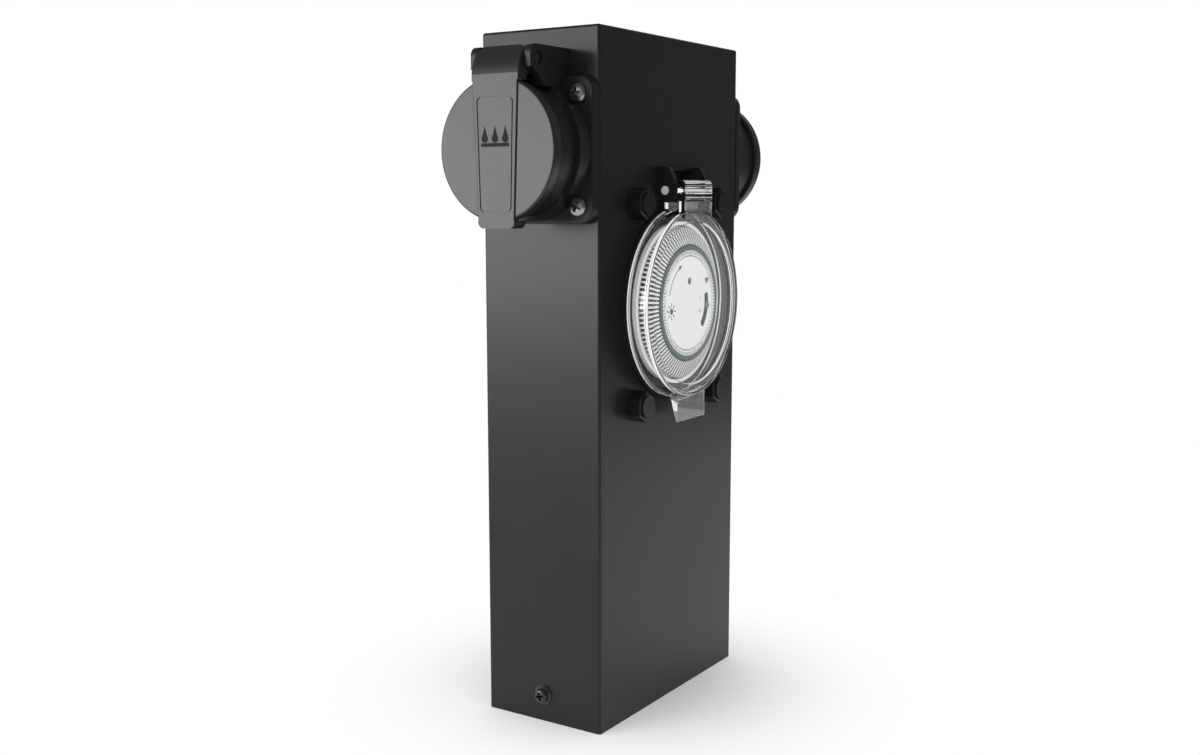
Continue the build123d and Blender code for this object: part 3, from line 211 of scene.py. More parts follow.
# %% The plain finishes
# name: low colour, high colour, roughness span, metallic, specular, bump, grain scale
plain_finishes = {
    "powder_coat_black": (
        (0.009, 0.009, 0.0093), (0.015, 0.015, 0.0155), (0.26, 0.36), 0, 0.3, 0.3, 1500,
    ),
    "moulding_black": (
        (0.009, 0.009, 0.009), (0.014, 0.014, 0.014), (0.34, 0.46), 0, 0.3, 0.12, 3500,
    ),
    "moulding_black_matt": (
        (0.008, 0.008, 0.008), (0.014, 0.014, 0.014), (0.55, 0.7), 0, 0.3, 0.15, 3000,
    ),
    "lid_black": ((0.012, 0.012, 0.0122), (0.02, 0.02, 0.0204), (0.3, 0.4), 0, 0.45, 0.12, 3800),
    "rubber_black": ((0.008, 0.008, 0.008), (0.014, 0.014, 0.014), (0.65, 0.8), 0, 0.25, 0.1, 2500),
    "nylon_white": ((0.68, 0.67, 0.62), (0.76, 0.75, 0.71), (0.4, 0.5), 0, 0.5, 0.05, 2500),
    "steel_zinc": ((0.46, 0.47, 0.48), (0.6, 0.61, 0.62), (0.28, 0.45), 1, 0.5, 0.05, 1800),
    "steel_bright": ((0.66, 0.65, 0.63), (0.78, 0.77, 0.75), (0.3, 0.42), 1, 0.5, 0.03, 2600),
    "screw_black": (
        (0.012, 0.012, 0.0125), (0.022, 0.022, 0.023), (0.22, 0.34), 0, 0.6, 0.05, 2600,
    ),
    "nut_black": ((0.006, 0.006, 0.006), (0.011, 0.011, 0.011), (0.26, 0.38), 0, 0.35, 0.06, 3000),
    "spring_steel": ((0.4, 0.4, 0.4), (0.52, 0.52, 0.52), (0.25, 0.4), 1, 0.5, 0.03, 2500),
    "brass": ((0.7, 0.5, 0.22), (0.82, 0.62, 0.3), (0.2, 0.35), 1, 0.5, 0.03, 2200),
    "nickel": ((0.6, 0.57, 0.5), (0.72, 0.69, 0.62), (0.18, 0.32), 1, 0.5, 0.03, 2200),
    "timer_white": ((0.84, 0.84, 0.83), (0.89, 0.89, 0.88), (0.35, 0.45), 0, 0.5, 0.03, 2500),
    "timer_grey": ((0.3, 0.31, 0.32), (0.36, 0.37, 0.38), (0.45, 0.6), 0, 0.4, 0.05, 2500),
    "dial_grey": ((0.83, 0.84, 0.83), (0.88, 0.89, 0.88), (0.35, 0.45), 0, 0.4, 0.03, 2800),
    "switch_green": ((0.02, 0.19, 0.1), (0.03, 0.25, 0.14), (0.35, 0.45), 0, 0.5, 0.03, 2800),
    "print_dark": ((0.03, 0.03, 0.032), (0.06, 0.06, 0.062), (0.4, 0.55), 0, 0.4, 0.05, 3000),
    "print_red": ((0.45, 0.1, 0.1), (0.6, 0.18, 0.18), (0.4, 0.55), 0, 0.4, 0.05, 3000),
    "screw_zinc": ((0.34, 0.335, 0.325), (0.46, 0.455, 0.445), (0.3, 0.42), 1, 0.5, 0.04, 2600),
    "pin_pale": ((0.62, 0.62, 0.61), (0.74, 0.74, 0.73), (0.3, 0.4), 0, 0.6, 0.03, 2600),
    "print_on_lid": ((0.004, 0.004, 0.004), (0.008, 0.008, 0.008), (0.5, 0.62), 0, 0.16, 0.1, 3000),
}
GRAIN_DEPTH = 0.06 * MM
materials = {}
for finish, (low, high, rough, metallic, specular, bump, fineness) in plain_finishes.items():
    material, tree, shader = start_material(finish, high, rough[1], metallic, specular)
    add_grain(tree, shader, bump, GRAIN_DEPTH, fineness, rough, (low, high))
    materials[finish] = material
print("plain finishes:", len(materials))

# %% [markdown]
# The lid over the dial is clear polycarbonate. A Principled BSDF with full transmission bends
# the light as the real lid does. Light that only passes on its way to the dial isn't bent
# usefully by a path tracer, so for shadow and diffuse rays the lid is simply transparent, and
# the dial inside stays as bright as in the photograph. Where the shiny post mirrors the lid
# from outside, a bent image would be far too bright, so such rays see it as a dim sheet.

# %% Clear polycarbonate
POLYCARBONATE_IOR = 1.585
MIRROR_DIM = 0.3
TAB_CLEARNESS = 0.88


def build_clear(name, clearness):
    """Clear plastic that lets shadow and diffuse rays straight through, and is dim in a mirror."""
    material, tree, shader = start_material(name, (1.0, 1.0, 1.0), 0.02)
    shader.inputs["Transmission Weight"].default_value = clearness
    shader.inputs["IOR"].default_value = POLYCARBONATE_IOR
    add_grain(tree, shader, 0.02, GRAIN_DEPTH, 300, (0.01, 0.05))
    rays = add_node(tree, "ShaderNodeLightPath")
    outside = maths(tree, "LESS_THAN", rays.outputs["Transmission Depth"], 0.5)
    mirrored = maths(tree, "MULTIPLY", rays.outputs["Is Glossy Ray"], outside)
    see_through = add_node(tree, "ShaderNodeBsdfTransparent")
    dim = (MIRROR_DIM, MIRROR_DIM, MIRROR_DIM, 1)
    dimmed = mix_colours(tree, mirrored, (1.0, 1.0, 1.0, 1), dim)
    tree.links.new(dimmed, see_through.inputs["Color"])
    choice = add_node(tree, "ShaderNodeMixShader")
    passing = maths(tree, "MAXIMUM", rays.outputs["Is Shadow Ray"], rays.outputs["Is Diffuse Ray"])
    passing = maths(tree, "MAXIMUM", passing, mirrored)
    tree.links.new(passing, choice.inputs[0])
    tree.links.new(shader.outputs[0], choice.inputs[1])
    tree.links.new(see_through.outputs[0], choice.inputs[2])
    tree.links.new(choice.outputs[0], tree.nodes["Material Output"].inputs["Surface"])
    return material


materials["clear_lid"] = build_clear("clear_lid", 1.0)
materials["clear_tab"] = build_clear("clear_tab", TAB_CLEARNESS)
print("clear lid, index of refraction", POLYCARBONATE_IOR)

# %% [markdown]
# The hour ring is printed: a green band with fine ticks inside it, one for each quarter hour.
# Print follows the dial's centre, so a second group turns Object coordinates into a distance
# from that centre and an angle round it. The bands are then simple comparisons. The dial's
# parts share one kind of pale plastic, so a helper starts it and hands its colour on.

# %% The polar group and the printed ring
DIAL_CENTRE = Vector((0.0, -25.0, 153.0)) * MM
GREEN_BAND = (19.6 * MM, 21.4 * MM)
TICK_BAND = (18.4 * MM, 19.4 * MM)
TICK_COUNT = 96
TICK_SHARE = 0.38
RING_GREEN = (0.001, 0.066, 0.034, 1)
TICK_DARK = (0.02, 0.02, 0.02, 1)
DIAL_PALE = ((0.86, 0.87, 0.86), (0.83, 0.84, 0.83), (0.88, 0.89, 0.88))
PALE_SPREAD, PALE_BUMP, PALE_GRAIN = 0.05, 0.03, 2800


def build_polar_group():
    """The distance from the dial's centre and the turn round it, from 0 to 1."""
    group = bpy.data.node_groups.new("dial_polar", "ShaderNodeTree")
    for name in ("Radius", "Turn"):
        group.interface.new_socket(name, in_out="OUTPUT", socket_type="NodeSocketFloat")
    outputs = add_node(group, "NodeGroupOutput")
    place = add_node(group, "ShaderNodeTexCoord")
    parts = add_node(group, "ShaderNodeSeparateXYZ")
    group.links.new(place.outputs["Object"], parts.inputs[0])
    across = maths(group, "SUBTRACT", parts.outputs["X"], DIAL_CENTRE.x)
    up = maths(group, "SUBTRACT", parts.outputs["Z"], DIAL_CENTRE.z)
    squares = (maths(group, "POWER", offset, 2.0) for offset in (across, up))
    distance = maths(group, "SQRT", maths(group, "ADD", *squares))
    group.links.new(distance, outputs.inputs["Radius"])
    turn = maths(group, "DIVIDE", maths(group, "ARCTAN2", up, across), 2 * math.pi)
    group.links.new(maths(group, "FRACT", turn), outputs.inputs["Turn"])
    return group


polar_group = build_polar_group()


def between(tree, value, low, high):
    """1 where a value lies between two limits, and 0 elsewhere."""
    above = maths(tree, "GREATER_THAN", value, low)
    return maths(tree, "MULTIPLY", above, maths(tree, "LESS_THAN", value, high))


def start_pale(name, colours, roughness=0.4):
    """Pale plastic from a plain, a low and a high colour, with its colour as a socket too."""
    plain, low, high = colours
    material, tree, shader = start_material(name, plain, roughness)
    spread = (roughness - PALE_SPREAD, roughness + PALE_SPREAD)
    grain = add_grain(tree, shader, PALE_BUMP, GRAIN_DEPTH, PALE_GRAIN, spread)
    plastic = mix_colours(tree, grain.outputs["Mask"], (*low, 1), (*high, 1))
    return material, tree, shader, plastic


def build_dial_print():
    """Pale grey plastic with a green band and fine ticks."""
    material, tree, shader, plastic = start_pale("dial_print", DIAL_PALE)
    polar = add_node(tree, "ShaderNodeGroup", node_tree=polar_group)
    green = between(tree, polar.outputs["Radius"], *GREEN_BAND)
    banded = mix_colours(tree, green, plastic, RING_GREEN)
    in_band = between(tree, polar.outputs["Radius"], *TICK_BAND)
    count = maths(tree, "FRACT", maths(tree, "MULTIPLY", polar.outputs["Turn"], TICK_COUNT))
    tick = maths(tree, "MULTIPLY", in_band, maths(tree, "LESS_THAN", count, TICK_SHARE))
    paint(tree, shader, tick, banded, TICK_DARK)
    return material


materials["dial_print"] = build_dial_print()
print("dial print: green band", GREEN_BAND, "ticks", TICK_COUNT)

# %% [markdown]
# The carrier under the hour ring is as pale as the rest of the dial, but between the tappets
# one looks down into narrow gaps that light hardly reaches. The carrier's cone is solid there,
# so its material paints those gaps: dark between two radii, pale outside them.

# %% The dial's carrier
GAP_BAND = (21.3 * MM, 27.6 * MM)
GAP_DARK = (0.012, 0.013, 0.013, 1)
CARRIER_PALE = ((0.84, 0.85, 0.84), (0.81, 0.82, 0.81), (0.87, 0.88, 0.87))
CARRIER_ROUGHNESS = 0.45


def build_carrier():
    """Pale plastic that is dark where the gaps between the tappets are."""
    material, tree, shader, plastic = start_pale("carrier_grey", CARRIER_PALE, CARRIER_ROUGHNESS)
    polar = add_node(tree, "ShaderNodeGroup", node_tree=polar_group)
    paint(tree, shader, between(tree, polar.outputs["Radius"], *GAP_BAND), plastic, GAP_DARK)
    return material


materials["carrier_grey"] = build_carrier()
print("carrier: dark from", GAP_BAND[0], "to", GAP_BAND[1])

# %% [markdown]
# The tappets stand in a ring with gaps as wide as they are. Their tops are white, but hardly
# any light gets down to their flanks, and those are what one sees when looking along the gaps.
# A flank faces round the dial, so the share of the normal that points that way finds it. That
# way is at right angles to both the dial's axis and the line out from its centre.

# %% The tappets
FLANK_FACING = 0.7
FLANK_SHADE = (0.3, 0.31, 0.3, 1)
DIAL_AXIS = (0, 1, 0)


def build_tappets():
    """White plastic whose flanks lie in shade."""
    material, tree, shader, plastic = start_pale("tappet_white", DIAL_PALE)
    place = add_node(tree, "ShaderNodeTexCoord")
    outward = add_node(tree, "ShaderNodeVectorMath", {1: DIAL_CENTRE}, operation="SUBTRACT")
    tangent = add_node(tree, "ShaderNodeVectorMath", {1: DIAL_AXIS}, operation="CROSS_PRODUCT")
    unit = add_node(tree, "ShaderNodeVectorMath", operation="NORMALIZE")
    share = add_node(tree, "ShaderNodeVectorMath", operation="DOT_PRODUCT")
    tree.links.new(place.outputs["Object"], outward.inputs[0])
    for earlier, later in ((outward, tangent), (tangent, unit), (unit, share)):
        tree.links.new(earlier.outputs[0], later.inputs[0])
    tree.links.new(place.outputs["Normal"], share.inputs[1])
    either_way = maths(tree, "ABSOLUTE", share.outputs["Value"])
    flank = maths(tree, "GREATER_THAN", either_way, FLANK_FACING)
    paint(tree, shader, flank, plastic, FLANK_SHADE)
    return material


tappet_white = build_tappets()
print("tappets: flanks in shade", FLANK_SHADE[:3])

# %% [markdown]
# The still plate in the middle is white, but the walls of its curved slot lie in shadow and
# show the green lever. Seen from the side only those walls show, so the plate's material turns
# a dark green-grey along the slot: between two radii and between two turns.

# %% The middle plate
SLOT_BAND = (11.55 * MM, 14.25 * MM)
SLOT_TURNS = (-43.0 / 360, 13.0 / 360)
TURN_SHIFT = 0.25
SLOT_SHADE = (0.1, 0.13, 0.12, 1)
PLATE_PALE = ((0.88, 0.89, 0.88), (0.92, 0.92, 0.92), (0.95, 0.95, 0.95))


def build_plate():
    """White plastic with a dark green-grey slot."""
    material, tree, shader, plastic = start_pale("plate_white", PLATE_PALE)
    polar = add_node(tree, "ShaderNodeGroup", node_tree=polar_group)
    turn = maths(tree, "FRACT", maths(tree, "ADD", polar.outputs["Turn"], TURN_SHIFT))
    along = between(tree, turn, *(limit + TURN_SHIFT for limit in SLOT_TURNS))
    slot = maths(tree, "MULTIPLY", along, between(tree, polar.outputs["Radius"], *SLOT_BAND))
    paint(tree, shader, slot, plastic, SLOT_SHADE)
    return material


plate_white = build_plate()
print("slot from", SLOT_TURNS[0] * 360, "to", SLOT_TURNS[1] * 360, "degrees")

# %% [markdown]
# Every measured part already names its finish in the record, so the materials are handed out
# by that list and no part can be forgotten. A few parts then get a finish of their own: the
# plate with its slot, the tappets, and the hinge pin, whose end gets a pale, non-metal finish
# and shows as a pale dot.

# %% Finish every measured part
slot_of = {part["node"]: part["material_slot"] for part in frame["record"]["subparts"]}
for name, part in nodes.items():
    part.data.materials.clear()
    part.data.materials.append(materials[slot_of[name]])
special_finishes = {
    "timer_centre_plate": plate_white,
    "timer_lid_pin": materials["pin_pale"],
    "dial_tappets": tappet_white,
    "set_tappet": tappet_white,
}
for name, material in special_finishes.items():
    nodes[name].data.materials[0] = material
print("finished parts:", len(slot_of), "special:", ", ".join(special_finishes))

# %% [markdown]
# Some things are too fine or too smooth for the measured parts: a cross recess in a screw,
# print, and a clear cup that bends light. They are made here with bmesh. One helper turns a
# finished bmesh into a piece that rides on a body, and another lays a flat shape, drawn in X
# and Y, upright against a face that looks towards -Y or out of a narrow side. The others turn
# a few corners, give a drawing a height, add a finished mesh, and make a piece of print.

# %% Helpers for new pieces
SMOOTH_ANGLE = math.radians(32)
PRINT_HEIGHT = 0.03 * MM


def make_piece(name, shape, finish, body):
    """A piece at the origin, with its place in its mesh, that rides on a body."""
    bmesh.ops.recalc_face_normals(shape, faces=shape.faces)
    mesh = bpy.data.meshes.new(name)
    shape.to_mesh(mesh)
    shape.free()
    for face in mesh.polygons:
        face.use_smooth = True
    mesh.set_sharp_from_angle(angle=SMOOTH_ANGLE)
    mesh.materials.append(materials[finish])
    piece = bpy.data.objects.new(name, mesh)
    bpy.context.scene.collection.objects.link(piece)
    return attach(piece, body)


def facing(place, out):
    """The turn and shift that lay the XY plane against a face at place, with +Z pointing out."""
    out = Vector(out)
    across = Vector((0, 0, 1)).cross(out)
    turn = Matrix((across, Vector((0, 0, 1)), out)).transposed().to_4x4()
    return Matrix.Translation(Vector(place)) @ turn


def turn_corners(shape, corners, angle, axis="Z"):
    """Turns corners round an axis through the origin."""
    turn = Matrix.Rotation(angle, 3, axis)
    bmesh.ops.rotate(shape, verts=corners, cent=(0, 0, 0), matrix=turn)


def thicken(shape, height):
    """Gives a flat drawing in the XY plane a small height."""
    raised = bmesh.ops.extrude_face_region(shape, geom=list(shape.faces))
    corners = [part for part in raised["geom"] if isinstance(part, bmesh.types.BMVert)]
    bmesh.ops.translate(shape, verts=corners, vec=(0, 0, height))


def add_turned(shape, matrix, mesh):
    """Adds a mesh to a bmesh at another place."""
    placed = mesh.copy()
    placed.transform(matrix)
    shape.from_mesh(placed)
    bpy.data.meshes.remove(placed)


def make_print(name, drawing, place, finish, body):
    """A piece of print: a flat drawing that gets a small height and is laid against a face."""
    thicken(drawing, PRINT_HEIGHT)
    bmesh.ops.transform(drawing, verts=drawing.verts, matrix=place)
    make_piece(name, drawing, finish, body)


print("helpers ready, smooth below", round(math.degrees(SMOOTH_ANGLE)), "degrees")

# %% [markdown]
# The clear lid of the timer is one moulding: a cup with a hinge arm, a low root behind it and
# a finger tab. The measured mesh is loose triangles, and light that is bent by loose triangles
# shows every one of them, so the lid is made again here. It keeps its sizes, but its window
# lies a little deeper, as the photograph shows it. The cup is a profile spun round the dial's
# axis. Its hard corners are bevelled, because rounded edges are what draws the bright rings.
# The profile is in millimetres: how far from the axis, and how far out from the post's front.

# %% The clear cup
CUP_STEPS = 128
EDGE_ROUND = 0.25 * MM
SHARP_EDGE = math.radians(40)
MERGE_DISTANCE = 0.002 * MM
WINDOW_BACK, WINDOW_FRONT, RIM_FRONT = 8.0, 8.8, 9.8
WINDOW_FLAT, WINDOW_RADIUS, RIM_RADIUS = 29.3, 30.0, 30.2
RIM_CENTRE, RIM_ROUND = (33.8, 9.0), 0.8
LIP_BACK, LIP_FRONT = 1.7, 2.9
WALL_RADIUS, LIP_RADIUS = 34.9, 35.4
ROOM_RADIUS, ROOM_FLAT = 33.4, 32.8


def round_edges(shape, width, segments):
    """Bevels every edge that turns by more than the sharp angle."""
    closed = [edge for edge in shape.edges if edge.is_manifold]
    bmesh.ops.bevel(
        shape,
        geom=[edge for edge in closed if edge.calc_face_angle() > SHARP_EDGE],
        offset=width,
        segments=segments,
        profile=0.5,
        affect="EDGES",
        material=-1,
    )


def spin_profile(profile, steps):
    """A closed shape of revolution about Z from (radius, height) pairs that start and end on it."""
    shape = bmesh.new()
    corners = [shape.verts.new((radius, 0.0, height)) for radius, height in profile]
    edges = [shape.edges.new(pair) for pair in zip(corners, corners[1:])]
    bmesh.ops.spin(
        shape,
        geom=corners + edges,
        cent=(0, 0, 0),
        axis=(0, 0, 1),
        angle=2 * math.pi,
        steps=steps,
        use_merge=True,
    )
    bmesh.ops.remove_doubles(shape, verts=shape.verts, dist=MERGE_DISTANCE)
    bmesh.ops.recalc_face_normals(shape, faces=shape.faces)
    return shape


def in_mm(pairs):
    """The same pairs in metres."""
    return [(first * MM, second * MM) for first, second in pairs]


def arc(centre, radius, step, steps):
    """Points round a centre that start above it, or below it with a negative radius."""
    first, second = centre
    turns = [step * k for k in range(steps + 1)]
    return [(first + radius * math.sin(turn), second + radius * math.cos(turn)) for turn in turns]


cup_profile = in_mm([
    (0, WINDOW_FRONT), (WINDOW_FLAT, WINDOW_FRONT), (WINDOW_RADIUS, WINDOW_FRONT),
    (RIM_RADIUS, RIM_FRONT), *arc(RIM_CENTRE, RIM_ROUND, math.pi / 12, 6),
    (WALL_RADIUS, LIP_FRONT), (LIP_RADIUS, LIP_FRONT), (LIP_RADIUS, LIP_BACK),
    (ROOM_RADIUS, LIP_BACK), (ROOM_RADIUS, WINDOW_BACK), (ROOM_FLAT, WINDOW_BACK),
    (0, WINDOW_BACK),
])
cup = spin_profile(cup_profile, CUP_STEPS)
round_edges(cup, EDGE_ROUND, 3)
print("cup faces:", len(cup.faces))

# %% [markdown]
# The arm, the root and the tab are outlines drawn from the side and pushed out across the
# post. A Boolean modifier takes the cup's room out of each and then joins it to the cup, so the
# lid is one closed body of plastic, with no wall inside it that light could catch. Below the
# cup's rim the faces take a second finish that lets a little less light through, so the tab is
# slightly milky. The window's flat faces are shaded flat, so that nothing bends the dial
# behind them.

# %% The arm, the root and the tab
PIN_PLACE, PIN_HOLE, PIN_REACH = (4.0, 41.6), 1.65, 12
KNUCKLE_RADIUS = 3.75
ELBOW_CENTRE, ELBOW_ROUND = (9.1, 43.45), 1.9
ARM_FOOT = [(11.0, 31.5), (8.2, 31.5), (8.2, 37.85)]
ROOT_OUTLINE = [(1.7, 31.5), (1.7, 37.3), (3.6, 37.3), (3.6, 31.5)]
TAB_OUTLINE = [(5.2, -30.0), (5.2, -33.9), (7.9, -43.5), (8.5, -43.5), (8.5, -30.0)]
ARM_HALF, ROOT_HALF, TAB_HALF = 10.2 * MM, 9.5 * MM, 10.5 * MM
BLOCK_ROUND = 0.2 * MM
TRIM_RADIUS, TRIM_LOW, TRIM_HIGH = 33.7 * MM, 0.5 * MM, 8.15 * MM
TAB_TOP = DIAL_CENTRE.z - 35.45 * MM
FLAT_FACE = 0.999


def combine(first, second, operation):
    """A bmesh of one bmesh joined with, or cut by, another."""
    helpers = []
    for shape in (first, second):
        mesh = bpy.data.meshes.new("helper")
        shape.to_mesh(mesh)
        shape.free()
        helpers.append(bpy.data.objects.new("helper", mesh))
        bpy.context.scene.collection.objects.link(helpers[-1])
    boolean = helpers[0].modifiers.new("boolean", "BOOLEAN")
    boolean.operation = operation
    boolean.solver = "EXACT"
    boolean.object = helpers[1]
    graph = bpy.context.evaluated_depsgraph_get()
    result = bmesh.new()
    result.from_mesh(bpy.data.meshes.new_from_object(helpers[0].evaluated_get(graph)))
    for helper in helpers:
        bpy.data.objects.remove(helper)
    return result


def side_block(outline, half_width):
    """A block from its side outline of (out, up) pairs, as wide as twice the half width."""
    shape = bmesh.new()
    corners = [shape.verts.new((-half_width, up, out)) for out, up in outline]
    face = shape.faces.new(corners)
    pushed = bmesh.ops.extrude_face_region(shape, geom=[face])
    far = [part for part in pushed["geom"] if isinstance(part, bmesh.types.BMVert)]
    bmesh.ops.translate(shape, verts=far, vec=(2 * half_width, 0, 0))
    bmesh.ops.recalc_face_normals(shape, faces=shape.faces)
    return shape


def cylinder(radius, low, high, segments):
    """A closed cylinder along Z."""
    shape = bmesh.new()
    bmesh.ops.create_cone(
        shape, cap_ends=True, segments=segments, radius1=radius, radius2=radius, depth=high - low
    )
    bmesh.ops.translate(shape, verts=shape.verts, vec=(0, 0, (high + low) / 2))
    return shape


def mesh_box(piece):
    """The lowest and the highest corner of a piece's mesh."""
    axes = list(zip(*(corner.co for corner in piece.data.vertices)))
    return [[round(limit(axis), 5) for axis in axes] for limit in (min, max)]


knuckle = arc(PIN_PLACE, -KNUCKLE_RADIUS, math.pi / 14, 14)
elbow = arc(ELBOW_CENTRE, ELBOW_ROUND, math.pi / 12, 6)
arm = side_block(in_mm([*knuckle, *elbow, *ARM_FOOT]), ARM_HALF)
round_edges(arm, EDGE_ROUND, 2)
pin_hole = cylinder(PIN_HOLE * MM, -PIN_REACH * MM, PIN_REACH * MM, 32)
turn_corners(pin_hole, pin_hole.verts, math.pi / 2, "Y")
pin_out, pin_up = in_mm([PIN_PLACE])[0]
bmesh.ops.translate(pin_hole, verts=pin_hole.verts, vec=(0, pin_up, pin_out))
arm = combine(arm, pin_hole, "DIFFERENCE")
root = side_block(in_mm(ROOT_OUTLINE), ROOT_HALF)
tab = side_block(in_mm(TAB_OUTLINE), TAB_HALF)
for block in (root, tab):
    round_edges(block, BLOCK_ROUND, 2)
for block in (arm, root, tab):
    room = cylinder(TRIM_RADIUS, TRIM_LOW, TRIM_HIGH, CUP_STEPS)
    cup = combine(cup, combine(block, room, "DIFFERENCE"), "UNION")
bmesh.ops.transform(cup, verts=cup.verts, matrix=facing(DIAL_CENTRE, (0, -1, 0)))
clear_cup = make_piece("clear_cup", cup, "clear_lid", "timer_lid")
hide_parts("timer_lid")
clear_cup.data.materials.append(materials["clear_tab"])
for face in clear_cup.data.polygons:
    face.material_index = int(face.center.z < TAB_TOP)
    face.use_smooth = abs(face.normal.y) < FLAT_FACE
flat_keeper = clear_cup.modifiers.new("flat_keeper", "WEIGHTED_NORMAL")
flat_keeper.mode = "FACE_AREA"
flat_keeper.keep_sharp = True
print("clear cup faces:", len(clear_cup.data.polygons))
print("clear cup box:", mesh_box(clear_cup), "measured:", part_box("timer_lid"))

# %% [markdown]
# The sockets are held by bright pan-head screws, and one black screw on each narrow side holds
# the foot. Each has a cross recess. The head is spun from a profile: a low dome, a short rim
# and the shank. The recess starts as a square whose four edges are pulled out into arms, is
# pushed down to a narrower tip, and is taken out of the head. One mesh serves all the flange
# screws, and a smaller one the foot's.

# %% A screw with a cross recess
SPIN_STEPS = 48
DOME = [
    (0.0, 1.0), (0.3, 0.985), (0.55, 0.93), (0.74, 0.84), (0.88, 0.7), (0.96, 0.53), (1.0, 0.34),
]
ARM_SHARE = 0.14
TIP_SHARE = 0.62
RECESS_REACH = 0.66
RECESS_DEPTH = 1.2
# head radius, head height, shank radius and shank length
FLANGE_SCREW = (3.3 * MM, 1.9 * MM, 1.7 * MM, 8.5 * MM)
FOOT_SCREW = (2.75 * MM, 1.9 * MM, 1.45 * MM, 9.0 * MM)


def spun_screw(head_radius, head_height, shank_radius, shank_length):
    """A closed pan-head screw along Z, its head standing on Z = 0."""
    head = [(across * head_radius, up * head_height) for across, up in DOME]
    shank = [(shank_radius, 0.0), (shank_radius, -shank_length), (0.0, -shank_length)]
    return spin_profile([*head, (head_radius, 0.0), *shank], SPIN_STEPS)


def cross_cutter(reach, depth, top):
    """A cross that narrows towards its tip, from above the head down to its depth."""
    shape = bmesh.new()
    bmesh.ops.create_grid(shape, x_segments=1, y_segments=1, size=ARM_SHARE * reach * 2)
    for edge in list(shape.edges):
        middle = (edge.verts[0].co + edge.verts[1].co) / 2
        pulled = bmesh.ops.extrude_edge_only(shape, edges=[edge])
        ends = [part for part in pulled["geom"] if isinstance(part, bmesh.types.BMVert)]
        bmesh.ops.translate(shape, verts=ends, vec=middle.normalized() * (reach - middle.length))
    bmesh.ops.translate(shape, verts=shape.verts, vec=(0, 0, top))
    lowered = bmesh.ops.extrude_face_region(shape, geom=list(shape.faces))
    tip = [part for part in lowered["geom"] if isinstance(part, bmesh.types.BMVert)]
    bmesh.ops.translate(shape, verts=tip, vec=(0, 0, -depth))
    bmesh.ops.scale(shape, verts=tip, vec=(TIP_SHARE, TIP_SHARE, 1.0))
    bmesh.ops.recalc_face_normals(shape, faces=shape.faces)
    return shape


def cross_screw(head_radius, head_height, shank_radius, shank_length):
    """The mesh of a pan-head screw with its cross recess."""
    solid = spun_screw(head_radius, head_height, shank_radius, shank_length)
    depth = RECESS_DEPTH * head_height
    shape = combine(solid, cross_cutter(RECESS_REACH * head_radius, depth, depth), "DIFFERENCE")
    mesh = bpy.data.meshes.new("screw")
    shape.to_mesh(mesh)
    shape.free()
    return mesh


flange_screw = cross_screw(*FLANGE_SCREW)
foot_screw = cross_screw(*FOOT_SCREW)
print("screw faces:", len(flange_screw.polygons), len(foot_screw.polygons))

# %% [markdown]
# The four screws of a socket sit at the corners of its flange, 38 mm apart, and nobody lines up
# the crosses of real screws, so each is turned by its own angle. The foot has one on each side.

# %% The screws in their places
POST_SIDE = 50.0 * MM
SOCKET_UP = 208.0 * MM
FLANGE_FRONT = 4.0 * MM
SCREW_REACH = 19.0 * MM
FOOT_SCREW_UP = 10.0 * MM
FOOT_SCREW_TURN = 12
CUP_FRONT = 0.9 * MM
corner_turns = {(-1, 1): 4, (1, 1): 31, (-1, -1): 68, (1, -1): 52}
side_signs = {"left": -1, "right": 1}


def add_screw(shape, screw, sign, out, across, up, turn):
    """Adds a screw to a bmesh on one narrow side, with its cross turned by some degrees."""
    place = facing((sign * out, across, up), (sign, 0, 0))
    add_turned(shape, place @ Matrix.Rotation(math.radians(turn), 4, "Z"), screw)


for side, sign in side_signs.items():
    screws = bmesh.new()
    for (across, up), turn in corner_turns.items():
        reach = (across * SCREW_REACH, SOCKET_UP + up * SCREW_REACH)
        add_screw(screws, flange_screw, sign, POST_SIDE + FLANGE_FRONT, *reach, turn)
    piece = make_piece(side + "_cross_screws", screws, "screw_zinc", "post")
    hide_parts(side + "_flange_screws")
foot_screws = bmesh.new()
for sign in side_signs.values():
    reach = (0, FOOT_SCREW_UP)
    add_screw(foot_screws, foot_screw, sign, POST_SIDE + CUP_FRONT, *reach, FOOT_SCREW_TURN)
piece = make_piece("foot_cross_screws", foot_screws, "screw_black", "post")
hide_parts("base_screws")

# %% [markdown]
# The strap of each socket lid carries a splash sign: three drops over a bar, a little darker
# than the lid. A drop is a disc whose top is drawn up to a point. It is raised by a few
# hundredths of a millimetre, as a pad print is.

# %% The splash sign on the socket lids
STRAP_FRONT = 25.5 * MM
DROP_RADIUS = 1.4 * MM
DROP_TIP = 4.6 * MM
DROP_SPACING = 4.3 * MM
BAR_WIDTH = 11.8 * MM
BAR_HEIGHT = 1.2 * MM
DROP_UP = 3.6 * MM
BAR_UP = 1.5 * MM
DROP_PINCH = 0.92


def add_drop(shape, across, up):
    """A drop: a disc with its upper half drawn up to a tip."""
    disc = bmesh.ops.create_circle(shape, cap_ends=True, radius=DROP_RADIUS, segments=32)
    for corner in disc["verts"]:
        rise = max(corner.co.y / DROP_RADIUS, 0.0)
        corner.co.x *= 1.0 - rise**1.5 * DROP_PINCH
        corner.co.y += (DROP_TIP - DROP_RADIUS) * rise**2
    bmesh.ops.translate(shape, verts=disc["verts"], vec=(across, up, 0))


def add_bar(shape, width, height, middle):
    """A flat bar round a point, and its corners."""
    bar = bmesh.ops.create_grid(shape, x_segments=1, y_segments=1, size=0.5)["verts"]
    bmesh.ops.scale(shape, verts=bar, vec=(width, height, 1))
    bmesh.ops.translate(shape, verts=bar, vec=(*middle, 0))
    return bar


